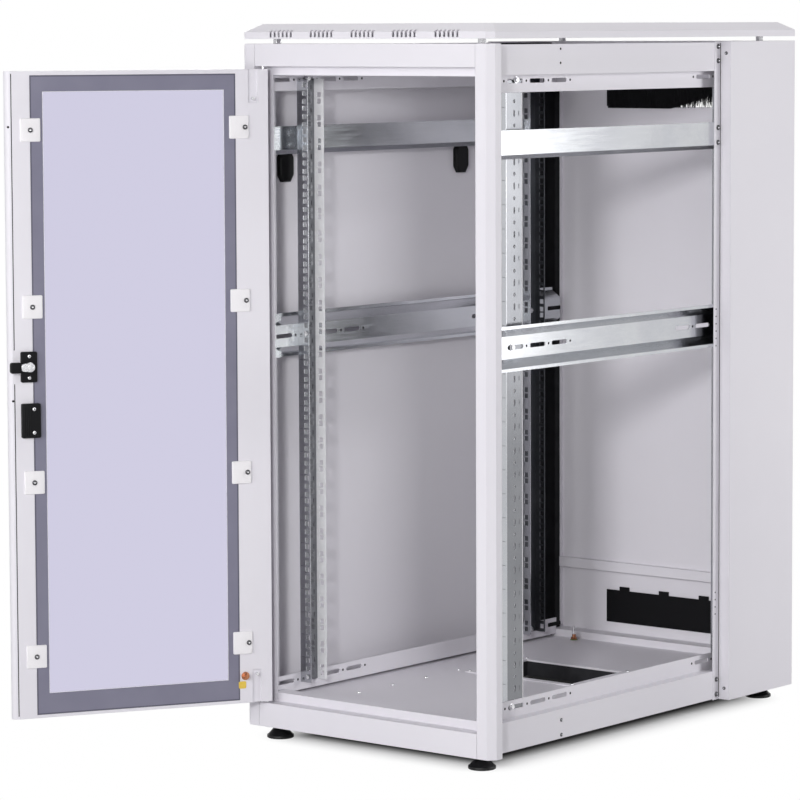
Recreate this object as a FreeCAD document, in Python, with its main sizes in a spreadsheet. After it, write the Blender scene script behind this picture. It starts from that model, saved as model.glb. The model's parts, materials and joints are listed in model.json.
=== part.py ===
"""Enclosed 19-inch network cabinet, 26 rack units, with its glass door open and its right side panel off.

Millimetres. X runs from the left side to the right, Y from the front to the back, Z up from the floor.
The door is drawn closed in its own frame, with the hinge axis as origin, and then turned open.
"""
import FreeCAD, Part
import math
import os
import Sketcher

doc = FreeCAD.newDocument("network_cabinet")
sizes = doc.addObject("Spreadsheet::Sheet", "sizes")

# Driving sizes of the whole cabinet
WHOLE = [
    ("width", "600"),
    ("depth", "1000"),
    ("frame_height", "1305"),
    ("foot_height", "26"),
    ("steel", "2"),
    ("half_width", "=width / 2"),
    ("half_depth", "=depth / 2"),
    ("frame_bottom", "=foot_height"),
    ("frame_top", "=foot_height + frame_height"),
    ("mitre", "=steel * 0.41421"),
]

# Front posts, with a door rebate inside and a step for the side panel behind
POSTS = [
    ("post_chamfer", "13"),
    ("post_face", "23"),
    ("post_side", "30"),
    ("panel_recess", "24"),
    ("post_depth", "60"),
    ("post_cap", "4"),
    ("rebate_depth", "28"),
    ("lip_reach", "22"),
    ("post_inner", "=half_width - post_chamfer - post_face"),
    ("lip_inner", "=post_inner - lip_reach"),
    ("seat", "=half_width - panel_recess"),
    ("step_y", "=post_side - half_depth"),
    ("rebate_y", "=rebate_depth - half_depth"),
    ("post_rear", "=post_depth - half_depth"),
]

# Rear columns: a wide outer skin, a step flange and a recessed strip in front of it
COLUMNS = [
    ("skin_depth", "229"),
    ("strip_width", "20"),
    ("column_return", "38"),
    ("return_depth", "30"),
    ("flange_y", "=half_depth - skin_depth"),
    ("strip_y", "=flange_y - strip_width"),
    ("column_inner", "=half_width - column_return"),
]

# Beams across the front and the rear
BEAMS = [
    ("base_face", "46.5"),
    ("top_face", "42.5"),
    ("door_lip", "17"),
    ("seam", "0.6"),
    ("rear_beam_depth", "60"),
    ("rear_base_height", "66"),
    ("rear_top_height", "89"),
    ("beam_reach", "=post_inner - seam"),
    ("rear_beam_y", "=half_depth - rear_beam_depth"),
    ("ledge_z", "=frame_bottom + base_face"),
    ("lip_top", "=frame_bottom + base_face + door_lip"),
    ("soffit_z", "=frame_top - top_face"),
    ("lip_bottom", "=frame_top - top_face - door_lip"),
]

# Folded rails along the sides
SIDE_RAILS = [
    ("rail_face", "58"),
    ("rail_flange", "32"),
    ("flange_share", "0.282"),
    ("rail_lift", "2"),
    ("rail_inset", "1"),
    ("rail_outer", "=seat - rail_inset"),
    ("flange_outer", "=post_inner - (post_inner - half_opening) * flange_share"),
    ("flange_inner", "=flange_outer - steel"),
    ("upper_rail_drop", "203"),
    ("upper_rail_web", "45"),
    ("upper_rail_lip", "8"),
    ("middle_rail_rise", "705"),
    ("middle_rail_web", "42"),
    ("middle_rail_flange", "6"),
    ("middle_rail_slope", "15"),
    ("middle_rail_end", "25"),
    ("slot_width", "8"),
    ("slot_length", "47"),
    ("slot_step", "68"),
    ("slot_lead", "18"),
    ("front_slot_count", "4"),
    ("rear_slot_set", "220"),
    ("tab_reach", "10"),
    ("flange_slot_drop", "11"),
    ("tie", "=seat - steel"),
    ("rail_front", "=rebate_y + steel"),
    ("first_slot_y", "=post_rear - slot_lead"),
    ("half_slot", "=slot_width / 2"),
    ("slot_cut", "=slot_width * 0.29"),
    ("upper_rail_z", "=frame_top - upper_rail_drop"),
    ("middle_rail_z", "=frame_bottom + middle_rail_rise"),
    ("middle_slot_z", "=middle_rail_z + middle_rail_flange + middle_rail_slope + middle_rail_web / 2"),
    ("top_slot_z", "=frame_top - rail_face - flange_slot_drop"),
    ("base_slot_z", "=frame_bottom + rail_face + flange_slot_drop + slot_width"),
    ("middle_rail_rear", "=half_depth - middle_rail_end - wall_setback"),
]

# Rack rails: hole pattern of the 19-inch system
RACK = [
    ("rack_units", "26"),
    ("unit_height", "44.45"),
    ("hole_spacing", "465.12"),
    ("rack_opening", "450"),
    ("square_hole", "9.5"),
    ("first_hole", "6.35"),
    ("hole_step", "15.875"),
    ("rack_margin", "5"),
    ("rack_depth", "50"),
    ("rack_return", "25"),
    ("front_rack_setback", "48"),
    ("rear_rack_setback", "74"),
    ("return_hole_gap", "12.7"),
    ("return_hole_inset", "11"),
    ("front_rack_y", "=post_rear + front_rack_setback"),
    ("rear_rack_y", "=rear_beam_y - rear_rack_setback"),
    ("half_opening", "=rack_opening / 2"),
    ("hole_x", "=hole_spacing / 2"),
    ("half_hole", "=square_hole / 2"),
    ("rack_travel", "=unit_height * (rack_units - 1)"),
    ("rack_length", "=unit_height * rack_units + 2 * rack_margin"),
    ("rack_bottom", "=(lip_top + lip_bottom - rack_length) / 2"),
    ("unit_base", "=rack_bottom + rack_margin"),
    ("return_hole_x", "=flange_inner - rack_return + return_hole_inset"),
    ("return_low", "=unit_base + first_hole"),
    ("return_high", "=unit_base + first_hole + return_hole_gap"),
]

# Floor, rear wall and side panel
PANELS = [
    ("floor_rise", "51"),
    ("entry_half_width", "118"),
    ("entry_front", "10"),
    ("entry_rear", "162"),
    ("wall_setback", "20"),
    ("wall_split", "214"),
    ("rear_entry_half", "145"),
    ("brush_height", "46"),
    ("brush_depth", "6"),
    ("cover_rise", "88"),
    ("cover_height", "68"),
    ("cover_depth", "3"),
    ("cover_overlap", "8"),
    ("panel_gap", "1"),
    ("panel_steel", "1.5"),
    ("latch_width", "40"),
    ("latch_height", "61"),
    ("latch_depth", "15"),
    ("latch_drop", "266"),
    ("latch_slant", "8"),
    ("front_latch_set", "73"),
    ("rear_latch_set", "119"),
    ("entry_rim", "15"),
    ("cover_tab_width", "24"),
    ("cover_tab_height", "8"),
    ("cover_tab_step", "100"),
    ("wall_fold", "12"),
    ("fold_drop", "18"),
    ("front_latch_y", "=step_y + front_latch_set"),
    ("rear_latch_y", "=flange_y - rear_latch_set"),
    ("latch_z", "=frame_top - latch_drop"),
    ("half_tab", "=cover_tab_width / 2"),
    ("floor_z", "=frame_bottom + floor_rise"),
    ("wall_y", "=half_depth - wall_setback"),
    ("wall_bottom", "=frame_bottom + rear_base_height"),
    ("wall_top", "=frame_top - rear_top_height"),
    ("wall_split_z", "=frame_bottom + wall_split"),
    ("cover_z", "=frame_bottom + cover_rise"),
]

# Roof, its spacers and the levelling feet
ROOF_AND_FEET = [
    ("roof_gap", "9"),
    ("roof_face", "13"),
    ("roof_rise", "15"),
    ("roof_bevel", "25"),
    ("vent_width", "5"),
    ("vent_height", "13"),
    ("vent_depth", "10"),
    ("vent_step", "10"),
    ("vents_in_group", "6"),
    ("vent_groups", "5"),
    ("group_step", "99"),
    ("vent_sill", "3"),
    ("spacer_inset", "55"),
    ("spacer_setback", "45"),
    ("spacer_radius", "8"),
    ("foot_inset", "55"),
    ("foot_setback", "40"),
    ("foot_radius", "26"),
    ("foot_rim", "6"),
    ("foot_neck", "11"),
    ("roof_bottom", "=frame_top + roof_gap"),
    ("roof_shoulder", "=frame_top + roof_gap + roof_face"),
    ("vent_z", "=frame_top + roof_gap + vent_sill"),
    ("spacer_x", "=half_width - spacer_inset"),
    ("spacer_y", "=half_depth - spacer_setback"),
    ("half_spacer", "=spacer_radius / 2"),
    ("spacer_flat", "=spacer_radius * 0.866"),
    ("foot_x", "=half_width - foot_inset"),
    ("foot_y", "=half_depth - foot_setback"),
    ("group_width", "=vent_step * (vents_in_group - 1) + vent_width"),
    ("first_vent_x", "=-(group_step * (vent_groups - 1) + group_width) / 2"),
    ("group_travel", "=group_step * (vent_groups - 1)"),
]

# Door, in its own frame with the hinge axis as origin
DOOR = [
    ("open_angle", "120"),
    ("hinge_inset", "16.5"),
    ("hinge_setback", "6"),
    ("pin_radius", "3"),
    ("pin_play", "0.5"),
    ("pin_reach", "13"),
    ("door_gap", "5"),
    ("edge_gap", "5.5"),
    ("back_gap", "6"),
    ("hinge_edge", "9"),
    ("hinge_slope", "5"),
    ("rim_radius", "10"),
    ("rim_step", "2"),
    ("hinge_stile", "65"),
    ("free_stile", "34"),
    ("top_rail", "8"),
    ("bottom_rail", "6"),
    ("glass_seat", "10"),
    ("glass_thickness", "5"),
    ("clip_width", "38"),
    ("clip_height", "43"),
    ("clip_depth", "4"),
    ("clip_cut", "2"),
    ("clip_overlap", "19"),
    ("hinge_clip_overlap", "13"),
    ("first_clip", "95"),
    ("last_clip", "87"),
    ("clip_rows", "4"),
    ("pin_groove_width", "17"),
    ("pin_groove_depth", "3"),
    ("pin_groove_length", "63"),
    ("pin_groove_x", "18"),
    ("pin_knob_length", "9"),
    ("half_groove", "=pin_groove_width / 2"),
    ("pin_knob_drop", "8"),
    ("lock_bulge", "4.5"),
    ("hinge_x", "=hinge_inset - post_inner"),
    ("hinge_y", "=hinge_setback - half_depth"),
    ("door_bottom", "=ledge_z + door_gap"),
    ("door_top", "=soffit_z - door_gap"),
    ("door_height", "=door_top - door_bottom"),
    ("door_free", "=2 * post_inner - hinge_inset - edge_gap"),
    ("door_inner", "=rebate_depth - hinge_setback - back_gap"),
    ("door_thickness", "=rebate_depth - back_gap"),
    ("rim_center", "=rim_radius - hinge_setback"),
    ("rim_inner", "=2 * rim_radius - hinge_setback"),
    ("flat_end", "=door_free - rim_radius - rim_step"),
    ("glass_left", "=hinge_stile - hinge_edge + hinge_slope"),
    ("glass_right", "=flat_end - free_stile"),
    ("glass_bottom", "=door_bottom + bottom_rail"),
    ("glass_top", "=door_top - top_rail"),
    ("clip_step", "=(door_height - first_clip - last_clip - clip_height) / (clip_rows - 1)"),
    ("clip_travel", "=clip_step * (clip_rows - 1)"),
    ("pin_hole", "=pin_radius + pin_play"),
]

# Lock, handle and earth studs
LOCK = [
    ("lock_above_clip", "194.5"),
    ("lock_inset", "37.5"),
    ("lock_width", "31"),
    ("lock_height", "57"),
    ("lock_depth", "6"),
    ("cam_stand", "13.5"),
    ("cam_thickness", "4"),
    ("cam_height", "15"),
    ("cam_length", "18"),
    ("cam_hub", "9"),
    ("hub_gap", "0.5"),
    ("sleeve_length", "21"),
    ("sleeve_height", "20"),
    ("sleeve_depth", "8"),
    ("sleeve_cut", "3"),
    ("lock_cut", "2"),
    ("bulge_margin", "3"),
    ("cover_rib_count", "3"),
    ("cover_rib_step", "4"),
    ("cover_rib_width", "2"),
    ("cover_rib_depth", "1"),
    ("cover_rib_set", "22"),
    ("cover_rib_end", "6"),
    ("cover_plate_drop", "132"),
    ("cover_plate_width", "36"),
    ("cover_plate_height", "64"),
    ("cover_plate_depth", "10"),
    ("handle_drop", "150"),
    ("handle_width", "34"),
    ("handle_height", "170"),
    ("handle_depth", "5"),
    ("lever_width", "20"),
    ("lever_height", "120"),
    ("lever_depth", "10"),
    ("lever_set", "15"),
    ("stud_radius", "4"),
    ("stud_length", "12"),
    ("door_stud_x", "50"),
    ("door_stud_rise", "52"),
    ("earth_stud_x", "190"),
    ("earth_stud_set", "20"),
    ("earth_stud_y", "=rear_beam_y - earth_stud_set"),
    ("lock_x", "=door_free - lock_inset"),
    ("lock_z", "=door_bottom + first_clip + clip_step + clip_height + lock_above_clip"),
    ("lock_left", "=lock_x - lock_width / 2"),
    ("cam_face", "=door_inner + cam_stand"),
    ("half_cam", "=cam_height / 2"),
    ("half_sleeve", "=sleeve_height / 2"),
    ("sleeve_lead", "=(sleeve_depth - cam_thickness) / 2"),
    ("half_lock", "=lock_height / 2"),
    ("lever_margin", "=(handle_width - lever_width) / 2"),
    ("handle_cut", "=handle_width * 0.29"),
    ("lever_cut", "=lever_width * 0.29"),
    ("cover_rib_travel", "=cover_rib_step * (cover_rib_count - 1)"),
]

# Hole positions within one rack unit, counted from its lower edge
HOLES_IN_UNIT = ["first_hole", "first_hole + hole_step", "first_hole + hole_step + hole_step"]


def fill_sheet():
    """Write every named size into the sheet."""
    row = 1
    for group in (WHOLE, POSTS, COLUMNS, BEAMS, SIDE_RAILS, RACK, PANELS, ROOF_AND_FEET, DOOR, LOCK):
        for name, text in group:
            sizes.set("A%d" % row, name)
            sizes.set("B%d" % row, text)
            sizes.setAlias("B%d" % row, name)
            row += 1
    doc.recompute()


def terms(expression):
    """Split a sum such as 'seat - steel' into signed names and numbers."""
    sign = 1
    found = []
    for word in expression.split():
        if word == "+":
            sign = 1
        elif word == "-":
            sign = -1
        else:
            found.append((sign, word))
            sign = 1
    return found


def value(expression):
    """The present value of a sum of named sizes."""
    total = 0.0
    for sign, word in terms(expression):
        number = float(word) if word[0].isdigit() else float(getattr(sizes, word))
        total += sign * number
    return total


def formula(expression):
    """The same sum as an expression that refers to the sheet."""
    text = ""
    for sign, word in terms(expression):
        text += " + " if sign > 0 else " - "
        text += word if word[0].isdigit() else "sizes." + word
    return text[3:] if text.startswith(" + ") else "-" + text[3:]


def opposite(expression):
    """The same sum with every sign turned round."""
    words = ["- " + word if sign > 0 else "+ " + word for sign, word in terms(expression)]
    return " ".join(words)


def on_side(side, expression):
    """An X value of the right side, or its mirror image for the left side."""
    return expression if side == "right" else opposite(expression)


def mirrored(side, points):
    """Outline points of the right side, or their mirror image for the left side."""
    return [(on_side(side, point[0]),) + tuple(point[1:]) for point in points]


def bind(target, path, expression):
    """Tie one property of an object to named sizes."""
    target.setExpression(path, formula(expression))


def new_body(label):
    """An empty body that becomes one node."""
    body = doc.addObject("PartDesign::Body", label)
    body.Label = label
    body.AllowCompound = True
    return body


def new_sketch(body, plane, offset):
    """An empty sketch parallel to an origin plane of the body, at a named offset along its normal."""
    sketch = body.newObject("Sketcher::SketchObject", body.Label + "_sketch")
    base = [feature for feature in body.Origin.OriginFeatures if feature.Role == plane][0]
    sketch.AttachmentSupport = (base, [""])
    sketch.MapMode = "FlatFace"
    sketch.AttachmentOffset = FreeCAD.Placement(FreeCAD.Vector(0, 0, value(offset)), FreeCAD.Rotation())
    bind(sketch, ".AttachmentOffset.Base.z", offset)
    return sketch


def set_size(sketch, kind, geometry, place, expression):
    """Place a point of the sketch by one named distance from the origin."""
    number = sketch.addConstraint(Sketcher.Constraint(kind, -1, 1, geometry, place, value(expression)))
    bind(sketch, "Constraints[%d]" % number, expression)


def set_radius(sketch, geometry, expression):
    """Give a circle or an arc of the sketch a named radius."""
    number = sketch.addConstraint(Sketcher.Constraint("Radius", geometry, value(expression)))
    bind(sketch, "Constraints[%d]" % number, expression)


def arc_between(start, end, radius):
    """A short arc that turns left from start to end."""
    chord = end - start
    half = chord.Length / 2
    height = math.sqrt(max(radius * radius - half * half, 0.0))
    left = FreeCAD.Vector(-chord.y, chord.x, 0).normalize()
    center = (start + end) * 0.5 + left * height
    circle = Part.Circle(center, FreeCAD.Vector(0, 0, 1), radius)
    first = math.atan2(start.y - center.y, start.x - center.x)
    last = math.atan2(end.y - center.y, end.x - center.x)
    if last <= first:
        last += 2 * math.pi
    return Part.ArcOfCircle(circle, first, last)


def add_outline(sketch, points):
    """A closed outline through named points; a third item is the radius of a left-turning arc after it."""
    first = sketch.GeometryCount
    count = len(points)
    places = [FreeCAD.Vector(value(point[0]), value(point[1]), 0) for point in points]
    for i in range(count):
        start = places[i]
        end = places[(i + 1) % count]
        if len(points[i]) == 3:
            sketch.addGeometry(arc_between(start, end, value(points[i][2])), False)
        else:
            sketch.addGeometry(Part.LineSegment(start, end), False)
    for i in range(count):
        after = first + (i + 1) % count
        sketch.addConstraint(Sketcher.Constraint("Coincident", first + i, 2, after, 1))
    for i in range(count):
        set_size(sketch, "DistanceX", first + i, 1, points[i][0])
        set_size(sketch, "DistanceY", first + i, 1, points[i][1])
        if len(points[i]) == 3:
            set_radius(sketch, first + i, points[i][2])


def add_circle(sketch, x, y, radius):
    """A circle at a named place."""
    place = FreeCAD.Vector(value(x), value(y), 0)
    number = sketch.addGeometry(Part.Circle(place, FreeCAD.Vector(0, 0, 1), value(radius)), False)
    set_size(sketch, "DistanceX", number, 3, x)
    set_size(sketch, "DistanceY", number, 3, y)
    set_radius(sketch, number, radius)


def cut_plate(left, low, right, high, cut):
    """The outline of a plate or a slot with its four corners cut off."""
    return [
        (left + " + " + cut, low),
        (right + " - " + cut, low),
        (right, low + " + " + cut),
        (right, high + " - " + cut),
        (right + " - " + cut, high),
        (left + " + " + cut, high),
        (left, high + " - " + cut),
        (left, low + " + " + cut),
    ]


def rectangle(left, low, right, high):
    """The four corners of a rectangle."""
    return [(left, low), (right, low), (right, high), (left, high)]


def pad(body, sketch, length):
    """Add material from the sketch along its normal."""
    feature = body.newObject("PartDesign::Pad", body.Label + "_pad")
    feature.Profile = sketch
    feature.Length = value(length)
    bind(feature, "Length", length)
    return feature


def pocket(body, sketch, depth):
    """Cut material from the sketch against its normal."""
    feature = body.newObject("PartDesign::Pocket", body.Label + "_pocket")
    feature.Profile = sketch
    feature.Length = value(depth)
    bind(feature, "Length", depth)
    return feature


def repeat(body, features, direction, length, count):
    """Repeat features along a sketch axis; the count is a named size."""
    pattern = body.newObject("PartDesign::LinearPattern", body.Label + "_pattern")
    pattern.Originals = features
    pattern.Direction = direction
    pattern.Length = value(length)
    pattern.Occurrences = int(value(count))
    bind(pattern, "Length", length)
    bind(pattern, "Occurrences", count)
    body.Tip = pattern
    return pattern


def padded_outline(body, plane, offset, outlines, length):
    """One sketch with these outlines, padded."""
    sketch = new_sketch(body, plane, offset)
    for points in outlines:
        add_outline(sketch, points)
    return pad(body, sketch, length)


def cut_outline(body, plane, offset, outlines, depth):
    """One sketch with these outlines, cut."""
    sketch = new_sketch(body, plane, offset)
    for points in outlines:
        add_outline(sketch, points)
    return pocket(body, sketch, depth)


def move_body(body, x, y):
    """Stand a body that is drawn at the origin on its named place."""
    body.Placement = FreeCAD.Placement(FreeCAD.Vector(value(x), value(y), 0), FreeCAD.Rotation())
    bind(body, ".Placement.Base.x", x)
    bind(body, ".Placement.Base.y", y)


def swing_open(body):
    """Hang a piece of the door on the hinge axis and turn it to the open angle."""
    turn = FreeCAD.Rotation(FreeCAD.Vector(0, 0, -1), value("open_angle"))
    body.Placement = FreeCAD.Placement(FreeCAD.Vector(value("hinge_x"), value("hinge_y"), 0), turn)
    bind(body, ".Placement.Base.x", "hinge_x")
    bind(body, ".Placement.Base.y", "hinge_y")
    bind(body, ".Placement.Rotation.Angle", "open_angle")


def cut_slots(body, side, starts, level, face):
    """Fixing slots through a sheet that stands upright along the side, from its inner face outward."""
    low = level + " - half_slot"
    high = level + " + half_slot"
    rows = [cut_plate(start, low, start + " + slot_length", high, "slot_cut") for start in starts]
    depth_plane = face if side == "right" else opposite(face)
    start_plane = depth_plane + " + steel" if side == "right" else depth_plane
    cut_outline(body, "YZ_Plane", start_plane, rows, "steel")


def front_post(side):
    """A hollow folded post with a chamfered corner, a thin door lip and a step for the side panel."""
    body = new_body("front_%s_post" % side)
    outer = [
        ("post_inner", "- half_depth"),
        ("half_width - post_chamfer", "- half_depth"),
        ("half_width", "post_chamfer - half_depth"),
        ("half_width", "step_y"),
        ("seat", "step_y"),
        ("seat", "post_rear"),
        ("post_inner", "post_rear"),
        ("post_inner", "rail_front"),
        ("lip_inner", "rail_front"),
        ("lip_inner", "rebate_y"),
        ("post_inner", "rebate_y"),
    ]
    inner = [
        ("post_inner + steel", "steel - half_depth"),
        ("half_width - post_chamfer - mitre", "steel - half_depth"),
        ("half_width - steel", "post_chamfer - half_depth + mitre"),
        ("half_width - steel", "step_y - steel"),
        ("seat - steel", "step_y - steel"),
        ("seat - steel", "post_rear - steel"),
        ("post_inner + steel", "post_rear - steel"),
    ]
    padded_outline(body, "XY_Plane", "frame_bottom", [mirrored(side, outer)], "frame_height")
    cut_outline(body, "XY_Plane", "frame_top", [mirrored(side, inner)], "frame_height - post_cap")


def rear_column(side):
    """A folded sheet: recessed strip, step flange, wide outer skin, rear face and return."""
    body = new_body("rear_%s_column" % side)
    outline = [
        ("seat", "strip_y"),
        ("seat", "flange_y"),
        ("half_width", "flange_y"),
        ("half_width", "half_depth"),
        ("column_inner", "half_depth"),
        ("column_inner", "half_depth - return_depth"),
        ("column_inner + steel", "half_depth - return_depth"),
        ("column_inner + steel", "half_depth - steel"),
        ("half_width - steel", "half_depth - steel"),
        ("half_width - steel", "flange_y + steel"),
        ("seat - steel", "flange_y + steel"),
        ("seat - steel", "strip_y"),
    ]
    padded_outline(body, "XY_Plane", "frame_bottom", [mirrored(side, outline)], "frame_height")


def front_base_beam():
    """Front wall, door ledge, door lip and inner wall of the base, open underneath."""
    body = new_body("front_base_beam")
    face = [
        ("- half_depth", "frame_bottom"),
        ("steel - half_depth", "frame_bottom"),
        ("steel - half_depth", "ledge_z - steel"),
        ("rebate_y", "ledge_z - steel"),
        ("rebate_y", "ledge_z"),
        ("- half_depth", "ledge_z"),
    ]
    lip = rectangle("rebate_y", "ledge_z - steel", "rail_front", "lip_top")
    fold = [
        ("rail_front", "lip_top - steel"),
        ("post_rear - steel", "lip_top - steel"),
        ("post_rear - steel", "frame_bottom"),
        ("post_rear", "frame_bottom"),
        ("post_rear", "lip_top"),
        ("rail_front", "lip_top"),
    ]
    padded_outline(body, "YZ_Plane", "- beam_reach", [face], "beam_reach + beam_reach")
    padded_outline(body, "YZ_Plane", "- lip_inner", [lip], "lip_inner + lip_inner")
    padded_outline(body, "YZ_Plane", "- post_inner", [fold], "post_inner + post_inner")
    pin = new_sketch(body, "XY_Plane", "ledge_z")
    add_circle(pin, "hinge_x", "hinge_y", "pin_hole")
    pocket(body, pin, "steel")


def front_top_beam():
    """Top flange, front wall, door soffit, door lip and inner wall over the door."""
    body = new_body("front_top_beam")
    face = [
        ("- half_depth", "soffit_z"),
        ("rebate_y", "soffit_z"),
        ("rebate_y", "soffit_z + steel"),
        ("steel - half_depth", "soffit_z + steel"),
        ("steel - half_depth", "frame_top - steel"),
        ("rebate_y", "frame_top - steel"),
        ("rebate_y", "frame_top"),
        ("- half_depth", "frame_top"),
    ]
    lip = rectangle("rebate_y", "lip_bottom", "rail_front", "soffit_z + steel")
    roof_flange = rectangle("rebate_y", "frame_top - steel", "rail_front", "frame_top")
    fold = [
        ("rail_front", "lip_bottom"),
        ("post_rear", "lip_bottom"),
        ("post_rear", "frame_top"),
        ("rail_front", "frame_top"),
        ("rail_front", "frame_top - steel"),
        ("post_rear - steel", "frame_top - steel"),
        ("post_rear - steel", "lip_bottom + steel"),
        ("rail_front", "lip_bottom + steel"),
    ]
    padded_outline(body, "YZ_Plane", "- beam_reach", [face], "beam_reach + beam_reach")
    padded_outline(body, "YZ_Plane", "- lip_inner", [lip, roof_flange], "lip_inner + lip_inner")
    padded_outline(body, "YZ_Plane", "- post_inner", [fold], "post_inner + post_inner")
    pin = new_sketch(body, "XY_Plane", "soffit_z + steel")
    add_circle(pin, "hinge_x", "hinge_y", "pin_hole")
    pocket(body, pin, "steel")


def rear_beam(label, low, high):
    """A square tube between the rear columns."""
    body = new_body(label)
    outer = rectangle("rear_beam_y", low, "half_depth", high)
    inner = rectangle("rear_beam_y + steel", low + " + steel", "half_depth - steel", high + " - steel")
    padded_outline(body, "YZ_Plane", "- column_inner", [outer, inner], "column_inner + column_inner")


def front_slots():
    """Where the row of fixing slots behind the front post begins, slot by slot."""
    count = int(value("front_slot_count"))
    return ["first_slot_y" + " + slot_step" * number for number in range(count)]


def base_rail(side):
    """A folded base rail: bottom flange, outer face, ledge and an inner flange that runs on to the rear."""
    body = new_body("%s_base_rail" % side)
    low = "frame_bottom + rail_lift"
    high = "frame_bottom + rail_face"
    wall = [
        ("flange_outer", low),
        ("rail_outer", low),
        ("rail_outer", high),
        ("flange_outer", high),
        ("flange_outer", high + " - steel"),
        ("rail_outer - steel", high + " - steel"),
        ("rail_outer - steel", low + " + steel"),
        ("flange_outer", low + " + steel"),
    ]
    flange = rectangle("flange_inner", high + " - steel", "flange_outer", high + " + rail_flange")
    tongue = rectangle("flange_inner", "lip_top + seam", "flange_outer", high + " + rail_flange")
    padded_outline(body, "XZ_Plane", "- strip_y", [mirrored(side, wall)], "strip_y - post_rear")
    padded_outline(body, "XZ_Plane", "- rear_beam_y", [mirrored(side, flange)], "rear_beam_y - post_rear")
    padded_outline(body, "XZ_Plane", "- post_rear", [mirrored(side, tongue)], "post_rear - rail_front")
    cut_slots(body, side, front_slots() + ["rear_beam_y - rear_slot_set"], "base_slot_z", "flange_inner")


def top_rail(side):
    """The base rail's counterpart under the roof, with its inner flange hanging down."""
    body = new_body("%s_top_rail" % side)
    high = "frame_top - rail_lift"
    low = "frame_top - rail_face"
    wall = [
        ("flange_outer", low),
        ("rail_outer", low),
        ("rail_outer", high),
        ("flange_outer", high),
        ("flange_outer", high + " - steel"),
        ("rail_outer - steel", high + " - steel"),
        ("rail_outer - steel", low + " + steel"),
        ("flange_outer", low + " + steel"),
    ]
    flange = rectangle("flange_inner", low + " - rail_flange", "flange_outer", low + " + steel")
    tongue = rectangle("flange_inner", low + " - rail_flange", "flange_outer", "lip_bottom - seam")
    padded_outline(body, "XZ_Plane", "- strip_y", [mirrored(side, wall)], "strip_y - post_rear")
    padded_outline(body, "XZ_Plane", "- rear_beam_y", [mirrored(side, flange)], "rear_beam_y - post_rear")
    padded_outline(body, "XZ_Plane", "- post_rear", [mirrored(side, tongue)], "post_rear - rail_front")
    cut_slots(body, side, front_slots() + ["rear_beam_y - rear_slot_set"], "top_slot_z", "flange_inner")


def end_tab(body, side, low, high):
    """A tab on the front post's inner wall, stepped back to the sheet of a side rail."""
    tab_rear = "post_rear + tab_reach"
    tab = rectangle("post_inner - steel", low, "post_inner", high)
    step = rectangle("post_inner - steel", low, "tie - steel", high)
    padded_outline(body, "XZ_Plane", opposite(tab_rear), [mirrored(side, tab)], tab_rear + " - rail_front")
    padded_outline(body, "XZ_Plane", opposite(tab_rear), [mirrored(side, step)], "steel")


def upper_side_rail(side):
    """A galvanised angle with a sloping lower lip, from the front post to the rear column's strip."""
    body = new_body("%s_upper_side_rail" % side)
    low = "upper_rail_z"
    outline = [
        ("tie", low),
        ("tie", low + " + upper_rail_web"),
        ("tie - steel", low + " + upper_rail_web"),
        ("tie - steel", low),
        ("tie - steel - upper_rail_lip", low + " - upper_rail_lip"),
        ("tie - upper_rail_lip", low + " - upper_rail_lip"),
    ]
    padded_outline(body, "XZ_Plane", "- flange_y", [mirrored(side, outline)], "flange_y - post_rear")
    end_tab(body, side, low, low + " + upper_rail_web")


def middle_side_rail(side):
    """A galvanised hat section whose web carries the rack rails, cut back in front on the lock's side."""
    body = new_body("%s_middle_side_rail" % side)
    low = "middle_rail_z"
    slope_low = low + " + middle_rail_flange"
    web_low = slope_low + " + middle_rail_slope"
    web_high = web_low + " + middle_rail_web"
    slope_high = web_high + " + middle_rail_slope"
    high = slope_high + " + middle_rail_flange"
    outline = [
        ("tie", low),
        ("tie", slope_low),
        ("flange_outer", web_low),
        ("flange_outer", web_high),
        ("tie", slope_high),
        ("tie", high),
        ("tie - steel", high),
        ("tie - steel", slope_high),
        ("flange_inner", web_high),
        ("flange_inner", web_low),
        ("tie - steel", slope_low),
        ("tie - steel", low),
    ]
    padded_outline(body, "XZ_Plane", "- middle_rail_rear", [mirrored(side, outline)],
                   "middle_rail_rear - post_rear")
    starts = front_slots()[1:]
    if side == "left":
        starts = front_slots()
        tongue = rectangle("flange_inner", web_low, "flange_outer", web_high)
        padded_outline(body, "XZ_Plane", "- post_rear", [mirrored(side, tongue)], "post_rear - rail_front")
        end_tab(body, side, low, web_low)
        end_tab(body, side, web_high, high)
    starts += ["rear_beam_y - rear_slot_set", "rear_beam_y - rear_slot_set - slot_step"]
    cut_slots(body, side, starts, "middle_slot_z", "flange_inner")


def square_at(x, level):
    """A square rack hole centred on a place."""
    return rectangle(x + " - half_hole", level + " - half_hole", x + " + half_hole", level + " + half_hole")


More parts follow.
